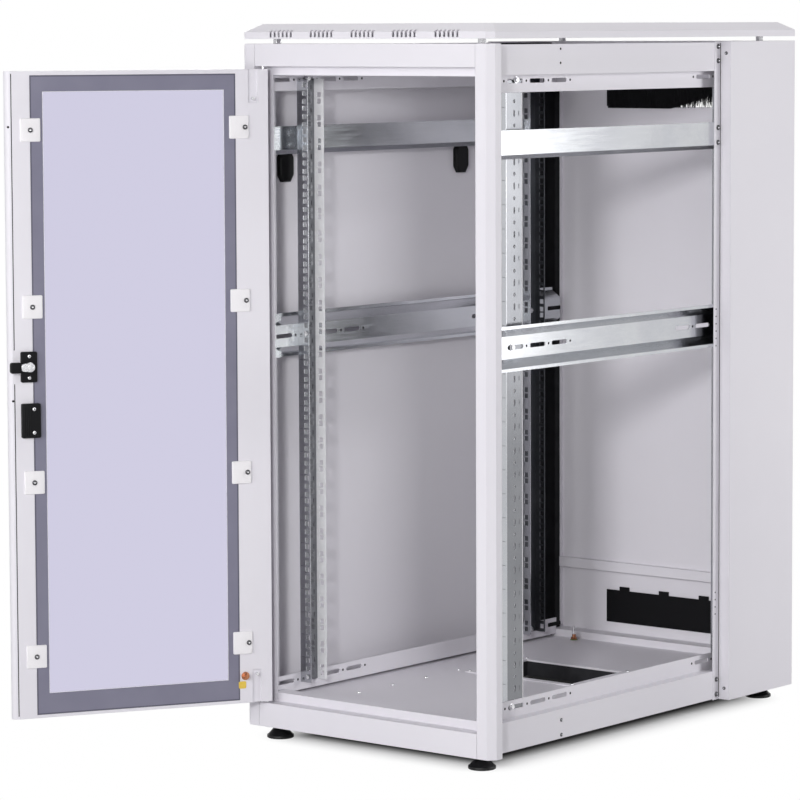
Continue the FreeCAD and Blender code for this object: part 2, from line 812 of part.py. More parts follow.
def rack_rail(end, side):
    """A perforated rack rail: flange with square holes, web against the side rails, and a return."""
    body = new_body("%s_%s_rack_rail" % (end, side))
    face = end + "_rack_y"
    inward = "+" if end == "front" else "-"
    outward = "-" if end == "front" else "+"

    def back(distance):
        return "%s %s %s" % (face, inward, distance)

    deep = back("rack_depth")
    outline = [
        ("half_opening", face),
        ("flange_inner", face),
        ("flange_inner", deep),
        ("flange_inner - rack_return", deep),
        ("flange_inner - rack_return", "%s %s steel" % (deep, outward)),
        ("flange_inner - steel", "%s %s steel" % (deep, outward)),
        ("flange_inner - steel", back("steel")),
        ("half_opening", back("steel")),
    ]
    padded_outline(body, "XY_Plane", "rack_bottom", [mirrored(side, outline)], "rack_length")
    hole_start = face if end == "front" else back("steel")
    holes = new_sketch(body, "XZ_Plane", opposite(hole_start))
    for place in HOLES_IN_UNIT:
        add_outline(holes, mirrored(side, square_at("hole_x", "unit_base + " + place)))
    cut = pocket(body, holes, "steel")
    repeat(body, [cut], (holes, ["V_Axis"]), "rack_travel", "rack_units")
    if end == "front":
        pairs = new_sketch(body, "XZ_Plane", opposite(deep + " - steel"))
        for level in ("return_low", "return_high"):
            add_outline(pairs, mirrored(side, square_at("return_hole_x", level)))
        cut = pocket(body, pairs, "steel")
        repeat(body, [cut], (pairs, ["V_Axis"]), "rack_travel", "rack_units")


def floor_pan():
    """A sheet floor with a cable entry."""
    body = new_body("floor_pan")
    sheet = rectangle("steel - rail_outer", "post_rear", "rail_outer - steel", "rear_beam_y")
    entry = rectangle("- entry_half_width", "- entry_front", "entry_half_width", "entry_rear")
    padded_outline(body, "XY_Plane", "floor_z - steel", [sheet, entry], "steel")
    rim = rectangle("- entry_half_width - entry_rim", "- entry_front - entry_rim",
                    "entry_half_width + entry_rim", "entry_rear + entry_rim")
    padded_outline(body, "XY_Plane", "floor_z", [rim, entry], "steel")


def roof():
    """A shallow raised cover with bevelled edges, cut corners and five groups of vents in front."""
    body = new_body("roof")

    def corners(inset):
        side = "half_width" + inset
        end = "half_depth" + inset
        return [
            (side + " - post_chamfer", opposite(end)),
            (side, opposite(end) + " + post_chamfer"),
            (side, end),
            (opposite(side), end),
            (opposite(side), opposite(end) + " + post_chamfer"),
            (opposite(side) + " + post_chamfer", opposite(end)),
        ]

    padded_outline(body, "XY_Plane", "roof_bottom", [corners("")], "roof_face")
    shoulder = new_sketch(body, "XY_Plane", "roof_shoulder")
    add_outline(shoulder, corners(""))
    crown = new_sketch(body, "XY_Plane", "roof_shoulder + roof_rise")
    add_outline(crown, corners(" - roof_bevel"))
    bevel = body.newObject("PartDesign::AdditiveLoft", "roof_bevel")
    bevel.Profile = shoulder
    bevel.Sections = [crown]
    bevel.Ruled = True
    hollow = new_sketch(body, "XY_Plane", "roof_shoulder - steel")
    add_outline(hollow, corners(" - steel"))
    pocket(body, hollow, "roof_face - steel")
    vents = new_sketch(body, "XZ_Plane", "half_depth")
    for number in range(int(value("vents_in_group"))):
        shift = "first_vent_x" + " + vent_step" * number
        add_outline(vents, rectangle(shift, "vent_z", shift + " + vent_width", "vent_z + vent_height"))
    group = pocket(body, vents, "vent_depth")
    repeat(body, [group], (vents, ["H_Axis"]), "group_travel", "vent_groups")


def roof_spacers():
    """Four hexagonal stand-offs that hold the roof clear of the frame."""
    body = new_body("roof_spacers")
    posts = []
    for x in ("spacer_x", "- spacer_x"):
        for y in ("spacer_y", "- spacer_y"):
            posts.append([
                (x + " + spacer_radius", y),
                (x + " + half_spacer", y + " + spacer_flat"),
                (x + " - half_spacer", y + " + spacer_flat"),
                (x + " - spacer_radius", y),
                (x + " - half_spacer", y + " - spacer_flat"),
                (x + " + half_spacer", y + " - spacer_flat"),
            ])
    padded_outline(body, "XY_Plane", "frame_top", posts, "roof_gap + roof_face - steel")


def levelling_feet():
    """Four conical levelling feet: one is turned about its own axis, then repeated."""
    body = new_body("levelling_feet")
    sketch = new_sketch(body, "XZ_Plane", "0")
    half_section = [
        ("0", "0"),
        ("foot_radius", "0"),
        ("foot_radius", "foot_rim"),
        ("foot_neck", "foot_height"),
        ("0", "foot_height"),
    ]
    add_outline(sketch, half_section)
    turned = body.newObject("PartDesign::Revolution", "foot_turned")
    turned.Profile = sketch
    turned.ReferenceAxis = (sketch, ["V_Axis"])
    turned.Angle = 360
    rows = []
    for role, length in (("X_Axis", "foot_x + foot_x"), ("Y_Axis", "foot_y + foot_y")):
        axis = [feature for feature in body.Origin.OriginFeatures if feature.Role == role][0]
        row = doc.addObject("PartDesign::LinearPattern", "foot_row")
        row.Direction = (axis, [""])
        row.Length = value(length)
        row.Occurrences = 2
        bind(row, "Length", length)
        rows.append(row)
    corners = body.newObject("PartDesign::MultiTransform", "foot_corners")
    corners.Originals = [turned]
    corners.Transformations = rows
    body.Tip = corners
    move_body(body, "- foot_x", "- foot_y")


def left_side_panel():
    """The remaining side panel: a sheet with four folded rims that rest on the frame."""
    body = new_body("left_side_panel")
    low = "frame_bottom + rail_lift"
    high = "frame_top - rail_lift"
    front = "step_y + panel_gap"
    rear = "flange_y - panel_gap"
    padded_outline(body, "YZ_Plane", "- half_width", [rectangle(front, low, rear, high)],
                   "half_width - seat")
    hollow = rectangle(front + " + panel_steel", low + " + panel_steel",
                       rear + " - panel_steel", high + " - panel_steel")
    cut_outline(body, "YZ_Plane", "- seat", [hollow], "half_width - seat - panel_steel")


def side_panel_latches():
    """Two black latches inside the side panel, with slanted corners."""
    body = new_body("side_panel_latches")
    high = "latch_z + latch_height"
    blocks = []
    for y in ("front_latch_y", "rear_latch_y"):
        blocks.append([
            (y, "latch_z + latch_slant"),
            (y + " + latch_slant", "latch_z"),
            (y + " + latch_width", "latch_z"),
            (y + " + latch_width", high + " - latch_slant"),
            (y + " + latch_width - latch_slant", high),
            (y, high),
        ])
    padded_outline(body, "YZ_Plane", "panel_steel - half_width", blocks, "latch_depth")


def rear_upper_panel():
    """The upper rear wall, with a gap at its top for the brush strip."""
    body = new_body("rear_upper_panel")
    outline = [
        ("- column_inner", "wall_split_z"),
        ("column_inner", "wall_split_z"),
        ("column_inner", "wall_top"),
        ("rear_entry_half", "wall_top"),
        ("rear_entry_half", "wall_top - brush_height"),
        ("- rear_entry_half", "wall_top - brush_height"),
        ("- rear_entry_half", "wall_top"),
        ("- column_inner", "wall_top"),
    ]
    padded_outline(body, "XZ_Plane", "- wall_y", [outline], "steel")
    fold = [
        ("wall_y - steel", "wall_split_z"),
        ("wall_y - steel", "wall_split_z + steel"),
        ("wall_y - wall_fold - steel", "wall_split_z + steel"),
        ("wall_y - wall_fold - steel", "wall_split_z - fold_drop"),
        ("wall_y - wall_fold", "wall_split_z - fold_drop"),
        ("wall_y - wall_fold", "wall_split_z"),
    ]
    padded_outline(body, "YZ_Plane", "- column_inner", [fold], "column_inner + column_inner")


def rear_lower_panel():
    """The lower rear wall, with a cable entry that the cover closes."""
    body = new_body("rear_lower_panel")
    sheet = rectangle("- column_inner", "wall_bottom", "column_inner", "wall_split_z")
    entry = rectangle("cover_overlap - rear_entry_half", "cover_z + cover_overlap",
                      "rear_entry_half - cover_overlap", "cover_z + cover_height - cover_overlap")
    padded_outline(body, "XZ_Plane", "- wall_y", [sheet, entry], "steel")


def rear_entries():
    """The brush strip at the top of the rear wall and the black cover at its foot."""
    brush = new_body("rear_brush_strip")
    strip = rectangle("- rear_entry_half", "wall_top - brush_height", "rear_entry_half", "wall_top")
    padded_outline(brush, "XZ_Plane", "- wall_y", [strip], "brush_depth")
    cover = new_body("rear_cable_cover")
    top = "cover_z + cover_height"
    plate = rectangle("- rear_entry_half", "cover_z", "rear_entry_half", top)
    padded_outline(cover, "XZ_Plane", "steel - wall_y", [plate], "cover_depth")
    tabs = [rectangle(middle + " - half_tab", top, middle + " + half_tab", top + " + cover_tab_height")
            for middle in ("- cover_tab_step", "0", "cover_tab_step")]
    padded_outline(cover, "XZ_Plane", "steel - wall_y", tabs, "cover_depth")


def earth_stud():
    """The frame's earth stud on the floor."""
    body = new_body("earth_stud")
    sketch = new_sketch(body, "XY_Plane", "floor_z")
    add_circle(sketch, "- earth_stud_x", "earth_stud_y", "stud_radius")
    pad(body, sketch, "stud_length")


def door_frame():
    """The steel door: sloped hinge edge, rounded free edge, a seat for the pane and a window."""
    body = new_body("door_frame")
    outline = [
        ("- hinge_edge", "- hinge_setback"),
        ("door_free - rim_radius", "- hinge_setback", "rim_radius"),
        ("door_free", "rim_center", "rim_radius"),
        ("door_free - rim_radius", "rim_inner"),
        ("flat_end", "rim_inner"),
        ("flat_end", "door_inner"),
        ("hinge_slope - hinge_edge", "door_inner"),
    ]
    padded_outline(body, "XY_Plane", "door_bottom", [outline], "door_height")
    seat = rectangle("glass_left", "glass_bottom", "glass_right", "glass_top")
    cut_outline(body, "XZ_Plane", "- door_inner + glass_thickness", [seat], "glass_thickness")
    window = rectangle("glass_left + glass_seat", "glass_bottom + glass_seat",
                       "glass_right - glass_seat", "glass_top - glass_seat")
    cut_outline(body, "XZ_Plane", "hinge_setback", [window], "door_thickness")
    groove_end = "pin_groove_x + pin_groove_width"
    grooves = [rectangle("pin_groove_x", "door_top - pin_groove_length", groove_end, "door_top"),
               rectangle("pin_groove_x", "door_bottom", groove_end, "door_bottom + pin_groove_length")]
    cut_outline(body, "XZ_Plane", "pin_groove_depth - door_inner", grooves, "pin_groove_depth")
    bulge = rectangle("flat_end", "lock_z - half_lock - bulge_margin", "flat_end + lock_bulge",
                      "lock_z + half_lock + bulge_margin")
    padded_outline(body, "XZ_Plane", "- door_inner", [bulge], "door_inner - rim_inner")
    swing_open(body)


def door_glass():
    """The pane, let into the inner face of the door."""
    body = new_body("door_glass")
    pane = rectangle("glass_left", "glass_bottom", "glass_right", "glass_top")
    padded_outline(body, "XZ_Plane", "- door_inner", [pane], "glass_thickness")
    swing_open(body)


def glass_clips(label, left):
    """A row of plates that hold one upright edge of the pane."""
    body = new_body(label)
    low = "door_bottom + first_clip"
    sketch = new_sketch(body, "XZ_Plane", "- door_inner - clip_depth")
    right = left + " + clip_width"
    add_outline(sketch, cut_plate(left, low, right, low + " + clip_height", "clip_cut"))
    clip = pad(body, sketch, "clip_depth")
    repeat(body, [clip], (sketch, ["V_Axis"]), "clip_travel", "clip_rows")
    swing_open(body)


def hinge_pins():
    """The two pins on which the door turns."""
    body = new_body("hinge_pins")
    upper = new_sketch(body, "XY_Plane", "door_top")
    add_circle(upper, "0", "0", "pin_radius")
    pad(body, upper, "pin_reach")
    lower = new_sketch(body, "XY_Plane", "door_bottom - pin_reach")
    add_circle(lower, "0", "0", "pin_radius")
    pad(body, lower, "pin_reach")
    swing_open(body)


def hinge_knobs():
    """The finger knobs that draw the hinge pins back, one in each groove of the hinge stile."""
    body = new_body("hinge_knobs")
    knobs = new_sketch(body, "XZ_Plane", "- door_inner - pin_knob_length + pin_groove_depth")
    middle = "pin_groove_x + half_groove"
    add_circle(knobs, middle, "door_top - pin_groove_length + pin_knob_drop", "pin_radius")
    add_circle(knobs, middle, "door_bottom + pin_groove_length - pin_knob_drop", "pin_radius")
    pad(body, knobs, "pin_knob_length")
    swing_open(body)


def lock_housing():
    """The black lock plate on the inside of the free stile."""
    body = new_body("lock_housing")
    right = "lock_left + lock_width"
    plate = cut_plate("lock_left", "lock_z - half_lock", right, "lock_z + half_lock", "lock_cut")
    padded_outline(body, "XZ_Plane", "- door_inner - lock_depth", [plate], "lock_depth")
    swing_open(body)


def handle_cover():
    """The ribbed black cover over the fixing of the outer handle."""
    body = new_body("handle_cover")
    base = "lock_z - cover_plate_drop"
    top = base + " + cover_plate_height"
    right = "lock_left + lock_width"
    face = "- door_inner - cover_plate_depth"
    plate = cut_plate(right + " - cover_plate_width", base, right, top, "lock_cut")
    padded_outline(body, "XZ_Plane", face, [plate], "cover_plate_depth")
    left = right + " - cover_plate_width + cover_rib_set"
    grooves = new_sketch(body, "XZ_Plane", face + " + cover_rib_depth")
    low = base + " + cover_rib_end"
    add_outline(grooves, rectangle(left, low, left + " + cover_rib_width", top + " - cover_rib_end"))
    groove = pocket(body, grooves, "cover_rib_depth")
    groove.Reversed = True
    repeat(body, [groove], (grooves, ["H_Axis"]), "cover_rib_travel", "cover_rib_count")
    swing_open(body)


def outer_handle():
    """A plain lever handle on a long plate outside, as such doors have."""
    body = new_body("outer_handle")
    base = "lock_z - handle_drop"
    plate = cut_plate("lock_left", base, "lock_left + handle_width", base + " + handle_height", "handle_cut")
    padded_outline(body, "XZ_Plane", "hinge_setback", [plate], "handle_depth")
    left = "lock_left + lever_margin"
    low = base + " + lever_set"
    lever = cut_plate(left, low, left + " + lever_width", low + " + lever_height", "lever_cut")
    padded_outline(body, "XZ_Plane", "hinge_setback + handle_depth", [lever], "lever_depth")
    swing_open(body)


def lock_cam():
    """The turning lever of the lock on its round hub."""
    body = new_body("lock_cam")
    hub = new_sketch(body, "XZ_Plane", "- cam_face - cam_thickness")
    add_circle(hub, "lock_x", "lock_z", "cam_hub")
    pad(body, hub, "cam_stand + cam_thickness - lock_depth - hub_gap")
    lever = rectangle("lock_x", "lock_z - half_cam", "lock_x + cam_length", "lock_z + half_cam")
    padded_outline(body, "XZ_Plane", "- cam_face - cam_thickness", [lever], "cam_thickness")
    swing_open(body)


def cam_sleeve():
    """The black sleeve at the tip of the lock cam."""
    body = new_body("cam_sleeve")
    left = "lock_x + cam_length"
    right = left + " + sleeve_length"
    block = cut_plate(left, "lock_z - half_sleeve", right, "lock_z + half_sleeve", "sleeve_cut")
    padded_outline(body, "XZ_Plane", "- cam_face - cam_thickness - sleeve_lead", [block], "sleeve_depth")
    swing_open(body)


def door_earth_stud():
    """The earth stud on the hinge side of the door."""
    body = new_body("door_earth_stud")
    sketch = new_sketch(body, "XZ_Plane", "- door_inner - stud_length")
    add_circle(sketch, "door_stud_x", "door_bottom + door_stud_rise", "stud_radius")
    pad(body, sketch, "stud_length")
    swing_open(body)


def build():
    """Make every piece of the cabinet."""
    for side in ("left", "right"):
        front_post(side)
        rear_column(side)
        base_rail(side)
        top_rail(side)
        upper_side_rail(side)
        middle_side_rail(side)
        for end in ("front", "rear"):
            rack_rail(end, side)
    front_base_beam()
    front_top_beam()
    rear_beam("rear_base_beam", "frame_bottom", "wall_bottom")
    rear_beam("rear_top_beam", "wall_top", "frame_top")
    floor_pan()
    roof()
    roof_spacers()
    levelling_feet()
    left_side_panel()
    side_panel_latches()
    rear_upper_panel()
    rear_lower_panel()
    rear_entries()
    earth_stud()
    door_frame()
    door_glass()
    glass_clips("hinge_side_glass_clips", "glass_left - clip_width + hinge_clip_overlap")
    glass_clips("free_side_glass_clips", "glass_right - clip_overlap")
    hinge_pins()
    hinge_knobs()
    lock_housing()
    handle_cover()
    outer_handle()
    lock_cam()
    cam_sleeve()
    door_earth_stud()
    doc.recompute()


def write_parts():
    """Check every piece and write it to its own file."""
    os.makedirs("parts", exist_ok=True)
    for item in doc.Objects:
        broken = [state for state in item.State if state in ("Invalid", "Error")]
        if broken:
            raise RuntimeError("%s did not build" % item.Label)
    for item in doc.Objects:
        if item.TypeId != "PartDesign::Body":
            continue
        if item.Shape.isNull() or not item.Shape.isValid():
            raise RuntimeError("%s has no sound shape" % item.Label)
        item.Shape.exportStep("parts/%s.step" % item.Label)


fill_sheet()
build()
write_parts()
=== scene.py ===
"""Looks of an enclosed 19-inch network cabinet with an open glass door and its right side panel off.

Metres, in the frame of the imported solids: X to the cabinet's right, Y to the back, Z up from the floor.
Pieces of the door are made in the door's own frame, closed, with the hinge axis as origin.
"""
import json
import math
import random

import bmesh
import bpy
from mathutils import Matrix, Vector


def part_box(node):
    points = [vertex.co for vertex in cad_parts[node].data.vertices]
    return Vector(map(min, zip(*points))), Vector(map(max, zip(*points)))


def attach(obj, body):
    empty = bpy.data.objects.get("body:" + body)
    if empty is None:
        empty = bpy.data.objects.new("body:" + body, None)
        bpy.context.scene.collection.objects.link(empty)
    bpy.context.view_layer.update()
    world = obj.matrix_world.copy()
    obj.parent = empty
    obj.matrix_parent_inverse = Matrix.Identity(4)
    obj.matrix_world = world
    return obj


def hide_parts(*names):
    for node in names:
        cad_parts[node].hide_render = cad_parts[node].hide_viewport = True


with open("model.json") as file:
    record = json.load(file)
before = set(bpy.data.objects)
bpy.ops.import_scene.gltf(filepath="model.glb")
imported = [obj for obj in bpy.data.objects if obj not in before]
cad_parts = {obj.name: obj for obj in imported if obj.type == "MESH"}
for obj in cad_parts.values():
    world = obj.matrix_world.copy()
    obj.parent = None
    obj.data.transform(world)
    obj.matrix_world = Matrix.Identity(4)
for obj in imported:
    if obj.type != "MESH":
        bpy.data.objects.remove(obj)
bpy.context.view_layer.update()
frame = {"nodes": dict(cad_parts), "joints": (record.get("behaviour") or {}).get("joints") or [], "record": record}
nodes = frame["nodes"]
joints = {joint["name"]: joint for joint in frame["joints"]}

MM = 0.001
IDENTITY = Matrix.Identity(4)


def mm(*sizes):
    """Millimetres as metres."""
    return tuple(size * MM for size in sizes)


# The door's frame, turned open about its hinge
hinge = joints["door_hinge"]
OPEN_ANGLE = math.radians(hinge["range_deg"][1])
DOOR = (Matrix.Translation((hinge["pos_m"][0], hinge["pos_m"][1], 0))
        @ Matrix.Rotation(-OPEN_ANGLE, 4, "Z"))

# Sizes of the 19-inch system
UNIT = 44.45 * MM
UNITS = 26
HOLE_X = 232.56 * MM
HOLES_IN_UNIT = mm(6.35, 22.225, 38.1)
SQUARE = 9.5 * MM
RAIL_MARGIN = 5 * MM

# Sheet thickness, the seat of the recessed strip in the rear columns, and the rows of slots in the side rails
STEEL = 2 * MM
COLUMN_SEAT = 276 * MM
BASE_ROW, MIDDLE_ROW, TOP_ROW = mm(103, 773, 1262)


def door_box(node):
    """The lower and upper corner of a piece of the door, in the door's frame."""
    piece = nodes[node]
    to_door = DOOR.inverted() @ piece.matrix_world
    corners = [to_door @ vertex.co for vertex in piece.data.vertices]
    low = Vector([min(corner[axis] for corner in corners) for axis in range(3)])
    high = Vector([max(corner[axis] for corner in corners) for axis in range(3)])
    return low, high


# Materials

# The part of a noise's range that carries most of its values, and the share by which roughness varies
NOISE_LOW, NOISE_HIGH = 0.3, 0.7
ROUGHNESS_SPREAD = 0.15


def empty_material(name):
    """A node material with nothing but its output."""
    material = bpy.data.materials.new(name)
    material.use_nodes = True
    tree = material.node_tree
    tree.nodes.clear()
    output = tree.nodes.new("ShaderNodeOutputMaterial")
    return material, tree, output


def add_node(tree, kind, **values):
    """A node whose inputs are set or linked by name, with underscores for spaces."""
    made = tree.nodes.new(kind)
    for key, value in values.items():
        socket = made.inputs[key.replace("_", " ")]
        if isinstance(value, bpy.types.NodeSocket):
            tree.links.new(value, socket)
        else:
            socket.default_value = value
    return made


def surface(tree, output, **values):
    """The common shader with its inputs set or linked by name, as the material's surface."""
    shader = add_node(tree, "ShaderNodeBsdfPrincipled", **values)
    tree.links.new(shader.outputs["BSDF"], output.inputs["Surface"])


def combined(tree, operation, first, second):
    """Two values combined by an operation of the math node."""
    made = tree.nodes.new("ShaderNodeMath")
    made.operation = operation
    tree.links.new(first, made.inputs[0])
    tree.links.new(second, made.inputs[1])
    return made.outputs["Value"]


def mix_shaders(tree, share, first, second, output):
    """The surface of two shaders: the first where the share is zero, the second where it is one."""
    mixed = tree.nodes.new("ShaderNodeMixShader")
    for value, socket in zip((share, first, second), mixed.inputs):
        tree.links.new(value, socket)
    tree.links.new(mixed.outputs["Shader"], output.inputs["Surface"])


def object_coordinates(tree, stretch=(1, 1, 1)):
    """Object coordinates, stretched along each axis."""
    place = tree.nodes.new("ShaderNodeTexCoord")
    mapping = add_node(tree, "ShaderNodeMapping", Vector=place.outputs["Object"], Scale=stretch)
    return mapping.outputs["Vector"]


def noise(tree, vector, scale, detail):
    """A noise texture's value."""
    return add_node(tree, "ShaderNodeTexNoise", Vector=vector, Scale=scale, Detail=detail).outputs["Fac"]


def spread(tree, value, low, high, start=NOISE_LOW, end=NOISE_HIGH):
    """A value from start to end mapped to low to high."""
    made = add_node(tree, "ShaderNodeMapRange", Value=value, From_Min=start, From_Max=end, To_Min=low,
                    To_Max=high)
    return made.outputs["Result"]


def between(tree, value, first, second, start=NOISE_LOW, end=NOISE_HIGH):
    """A colour between two colours."""
    ramp = tree.nodes.new("ShaderNodeValToRGB")
    for element, position, colour in zip(ramp.color_ramp.elements, (start, end), (first, second)):
        element.position = position
        element.color = (*colour, 1)
    tree.links.new(value, ramp.inputs["Fac"])
    return ramp.outputs["Color"]


def rounded_bump(tree, height, strength, distance, edge):
    """Fine relief over edges that are rounded in the shading."""
    bevel = add_node(tree, "ShaderNodeBevel", Radius=edge)
    bevel.samples = 4
    bump = add_node(tree, "ShaderNodeBump", Strength=strength, Distance=distance, Height=height,
                    Normal=bevel.outputs["Normal"])
    return bump.outputs["Normal"]


def paint_material():
    """Light grey powder coat with a fine orange peel and a trace of handling marks."""
    material, tree, output = empty_material("light_grey_powder_coat")
    vector = object_coordinates(tree)
    cloud = noise(tree, vector, scale=2.5, detail=4.0)
    peel = noise(tree, vector, scale=700.0, detail=2.0)
    colour = between(tree, cloud, (0.745, 0.725, 0.775), (0.775, 0.755, 0.80))
    normal = rounded_bump(tree, peel, strength=0.08, distance=0.0004, edge=0.0012)
    surface(tree, output, Base_Color=colour, Roughness=spread(tree, peel, low=0.36, high=0.48), Normal=normal,
            Specular_IOR_Level=0.4)
    return material


def zinc_material(name, stretch, dark, bright, low, high, smoothness):
    """Zinc plated sheet: a fine spangle, cloudy patches and rolling marks along the length."""
    material, tree, output = empty_material(name)
    vector = object_coordinates(tree)
    spangle = add_node(tree, "ShaderNodeTexVoronoi", Vector=vector, Scale=420.0)
    cells = add_node(tree, "ShaderNodeSeparateColor", Color=spangle.outputs["Color"])
    rolled = noise(tree, object_coordinates(tree, stretch), scale=50.0, detail=4.0)
    cloud = noise(tree, vector, scale=9.0, detail=3.0)
    blend = add_node(tree, "ShaderNodeMix", Factor=smoothness, A=cells.outputs["Red"], B=cloud)
    colour = between(tree, blend.outputs["Result"], dark, bright)
    normal = rounded_bump(tree, rolled, strength=0.02, distance=0.0003, edge=0.0006)
    surface(tree, output, Base_Color=colour, Roughness=spread(tree, rolled, low, high), Normal=normal,
            Metallic=1.0)
    return material


def plain_material(name, first, second, rough, scale, strength, metallic=0.0, coat=0.0, edge=0.0006,
                   gloss=0.5):
    """A moulded, plated or printed material with slight colour variation and grain."""
    material, tree, output = empty_material(name)
    grain = noise(tree, object_coordinates(tree), scale, detail=3.0)
    roughness = spread(tree, grain, rough * (1 - ROUGHNESS_SPREAD), rough * (1 + ROUGHNESS_SPREAD))
    normal = rounded_bump(tree, grain, strength, distance=0.0003, edge=edge)
    surface(tree, output, Base_Color=between(tree, grain, first, second), Roughness=roughness, Normal=normal,
            Metallic=metallic, Coat_Weight=coat, Specular_IOR_Level=gloss)
    return material


def glass_material():
    """Lightly tinted safety glass: mostly clear, with a gloss that grows at a glancing angle."""
    material, tree, output = empty_material("tinted_safety_glass")
    clear = add_node(tree, "ShaderNodeBsdfTransparent", Color=(0.795, 0.782, 0.875, 1))
    streaks = noise(tree, object_coordinates(tree, (1, 1, 0.3)), scale=3.0, detail=2.0)
    gloss = add_node(tree, "ShaderNodeBsdfGlossy", Color=(0.9, 0.9, 0.95, 1),
                     Roughness=spread(tree, streaks, low=0.02, high=0.06))
    slant = add_node(tree, "ShaderNodeLayerWeight", Blend=0.25)
    share = spread(tree, slant.outputs["Facing"], low=0.006, high=0.5, start=0.0, end=1.0)
    mix_shaders(tree, share, clear.outputs["BSDF"], gloss.outputs["BSDF"], output)
    return material


PAINT = paint_material()
GLASS = glass_material()

# Zinc: the run of the rolling marks, darker and lighter colour, lowest and highest roughness, smoothness
UPRIGHT = (8, 8, 0.3)
LEVEL = (8, 0.3, 8)
ZINC = zinc_material("zinc_plated_rack_rail", UPRIGHT, (0.46, 0.47, 0.50), (0.52, 0.53, 0.55),
                     0.20, 0.26, 0.92)
# Painted shade: a darker copy of the rack zinc for the webs of the front rails
ZINC_WEB_SHADED = zinc_material("shaded_copy_of_rack_zinc", UPRIGHT, (0.20, 0.205, 0.22), (0.25, 0.255, 0.27),
                         0.20, 0.26, 0.92)
# Painted shade: a much darker copy of the rack zinc for the rear rails, which lie in shade
ZINC_REAR_SHADED = zinc_material("shaded_copy_of_rear_rail_zinc", UPRIGHT, (0.10, 0.105, 0.115), (0.14, 0.145, 0.155),
                          0.28, 0.36, 0.9)
ZINC_SIDE = zinc_material("zinc_plated_side_rail", LEVEL, (0.58, 0.60, 0.63), (0.68, 0.70, 0.72),
                          0.17, 0.25, 0.85)
# Painted shade: a darker copy of the side rail zinc for the right side rails
ZINC_RIGHT_SHADED = zinc_material("shaded_copy_of_right_rail_zinc", LEVEL, (0.47, 0.48, 0.51), (0.54, 0.55, 0.57),
                           0.15, 0.21, 0.85)

# The others: darker and lighter colour, then roughness, scale and strength of the grain
# Painted light: a pale, non-metal copy of the zinc for the returns of the front rails, which stand in light
ZINC_RETURN_LIT = plain_material("lit_copy_of_return_zinc", (0.80, 0.80, 0.82), (0.86, 0.86, 0.88), 0.34, 60.0, 0.02)
PLATED = plain_material("bright_plated_steel", (0.62, 0.62, 0.64), (0.76, 0.76, 0.78), 0.26, 400.0, 0.05,
                        metallic=1.0)
# Dark steel for the heads of the ringed screws, and painted shade in the cross recesses of the bright screws
DARK_STEEL_AND_SHADE = plain_material("dark_steel_and_recess_shade", (0.06, 0.06, 0.065), (0.10, 0.10, 0.105), 0.34, 400.0, 0.05,
                            metallic=1.0)
COPPER = plain_material("copper_stud", (0.36, 0.15, 0.08), (0.48, 0.22, 0.12), 0.30, 500.0, 0.05,
                        metallic=1.0)
# Painted shade: near black sheets put where the columns' cable space and the cable entry lie in deep shade
SHADE_SHEET = plain_material("painted_shade_sheet", (0.020, 0.020, 0.023), (0.032, 0.032, 0.036), 0.6, 40.0, 0.03,
                        gloss=0.15)
BLACK = plain_material("black_moulded_plastic", (0.004, 0.004, 0.005), (0.008, 0.008, 0.009), 0.42, 1400.0,
                       0.12, gloss=0.12)
RUBBER = plain_material("black_foot_plastic", (0.006, 0.006, 0.007), (0.011, 0.011, 0.012), 0.38, 1200.0,
                        0.10, gloss=0.2)
BRISTLE = plain_material("black_bristle", (0.005, 0.005, 0.006), (0.014, 0.014, 0.016), 0.55, 900.0, 0.05,
                         gloss=0.1)
SHADE = plain_material("shaded_hole", (0.010, 0.010, 0.011), (0.016, 0.016, 0.017), 0.7, 300.0, 0.02,
                       gloss=0.1)
WHITE = plain_material("white_moulded_clip", (0.84, 0.82, 0.84), (0.88, 0.86, 0.88), 0.36, 900.0, 0.06,
                       edge=0.001)
PRINT = plain_material("printed_glass_border", (0.165, 0.160, 0.225), (0.190, 0.185, 0.250), 0.34, 12.0, 0.02,
                       coat=0.3)
PRINT_LINE = plain_material("printed_border_line", (0.075, 0.072, 0.11), (0.095, 0.092, 0.13), 0.34, 12.0,
                            0.02, coat=0.3)
GLASS_EDGE = plain_material("bright_border_edge", (0.70, 0.69, 0.76), (0.78, 0.77, 0.84), 0.30, 300.0, 0.02)
YELLOW = plain_material("yellow_earth_mark", (0.72, 0.50, 0.06), (0.78, 0.56, 0.09), 0.5, 300.0, 0.02)
GREEN = plain_material("green_earth_washer", (0.10, 0.22, 0.05), (0.14, 0.28, 0.07), 0.5, 300.0, 0.02)
MARK = plain_material("printed_unit_mark", (0.10, 0.10, 0.11), (0.14, 0.14, 0.15), 0.5, 300.0, 0.02)

NODE_MATERIALS = {
    "light_grey_paint": PAINT,
    "zinc_plated_steel": ZINC_SIDE,
    "bright_plated_steel": PLATED,
    "tinted_glass": GLASS,
    "black_plastic": BLACK,
    "black_rubber": RUBBER,
    "black_bristles": BRISTLE,
    "copper": COPPER,
}
RIGHT_SIDE_RAILS = ("right_upper_side_rail", "right_middle_side_rail")


def dress_nodes():
    """Give every solid the material of its slot, and the right side rails a darker copy of the zinc as painted
    shade.
    """
    slots = {part["node"]: part["material_slot"] for part in frame["record"]["subparts"]}
    for name, piece in nodes.items():
        material = ZINC_RIGHT_SHADED if name in RIGHT_SIDE_RAILS else NODE_MATERIALS[slots[name]]
        piece.data.materials.clear()
        piece.data.materials.append(material)


# Mesh building

def add_object(name, data):
    """A new object in the scene."""
    made = bpy.data.objects.new(name, data)
    bpy.context.scene.collection.objects.link(made)
    return made


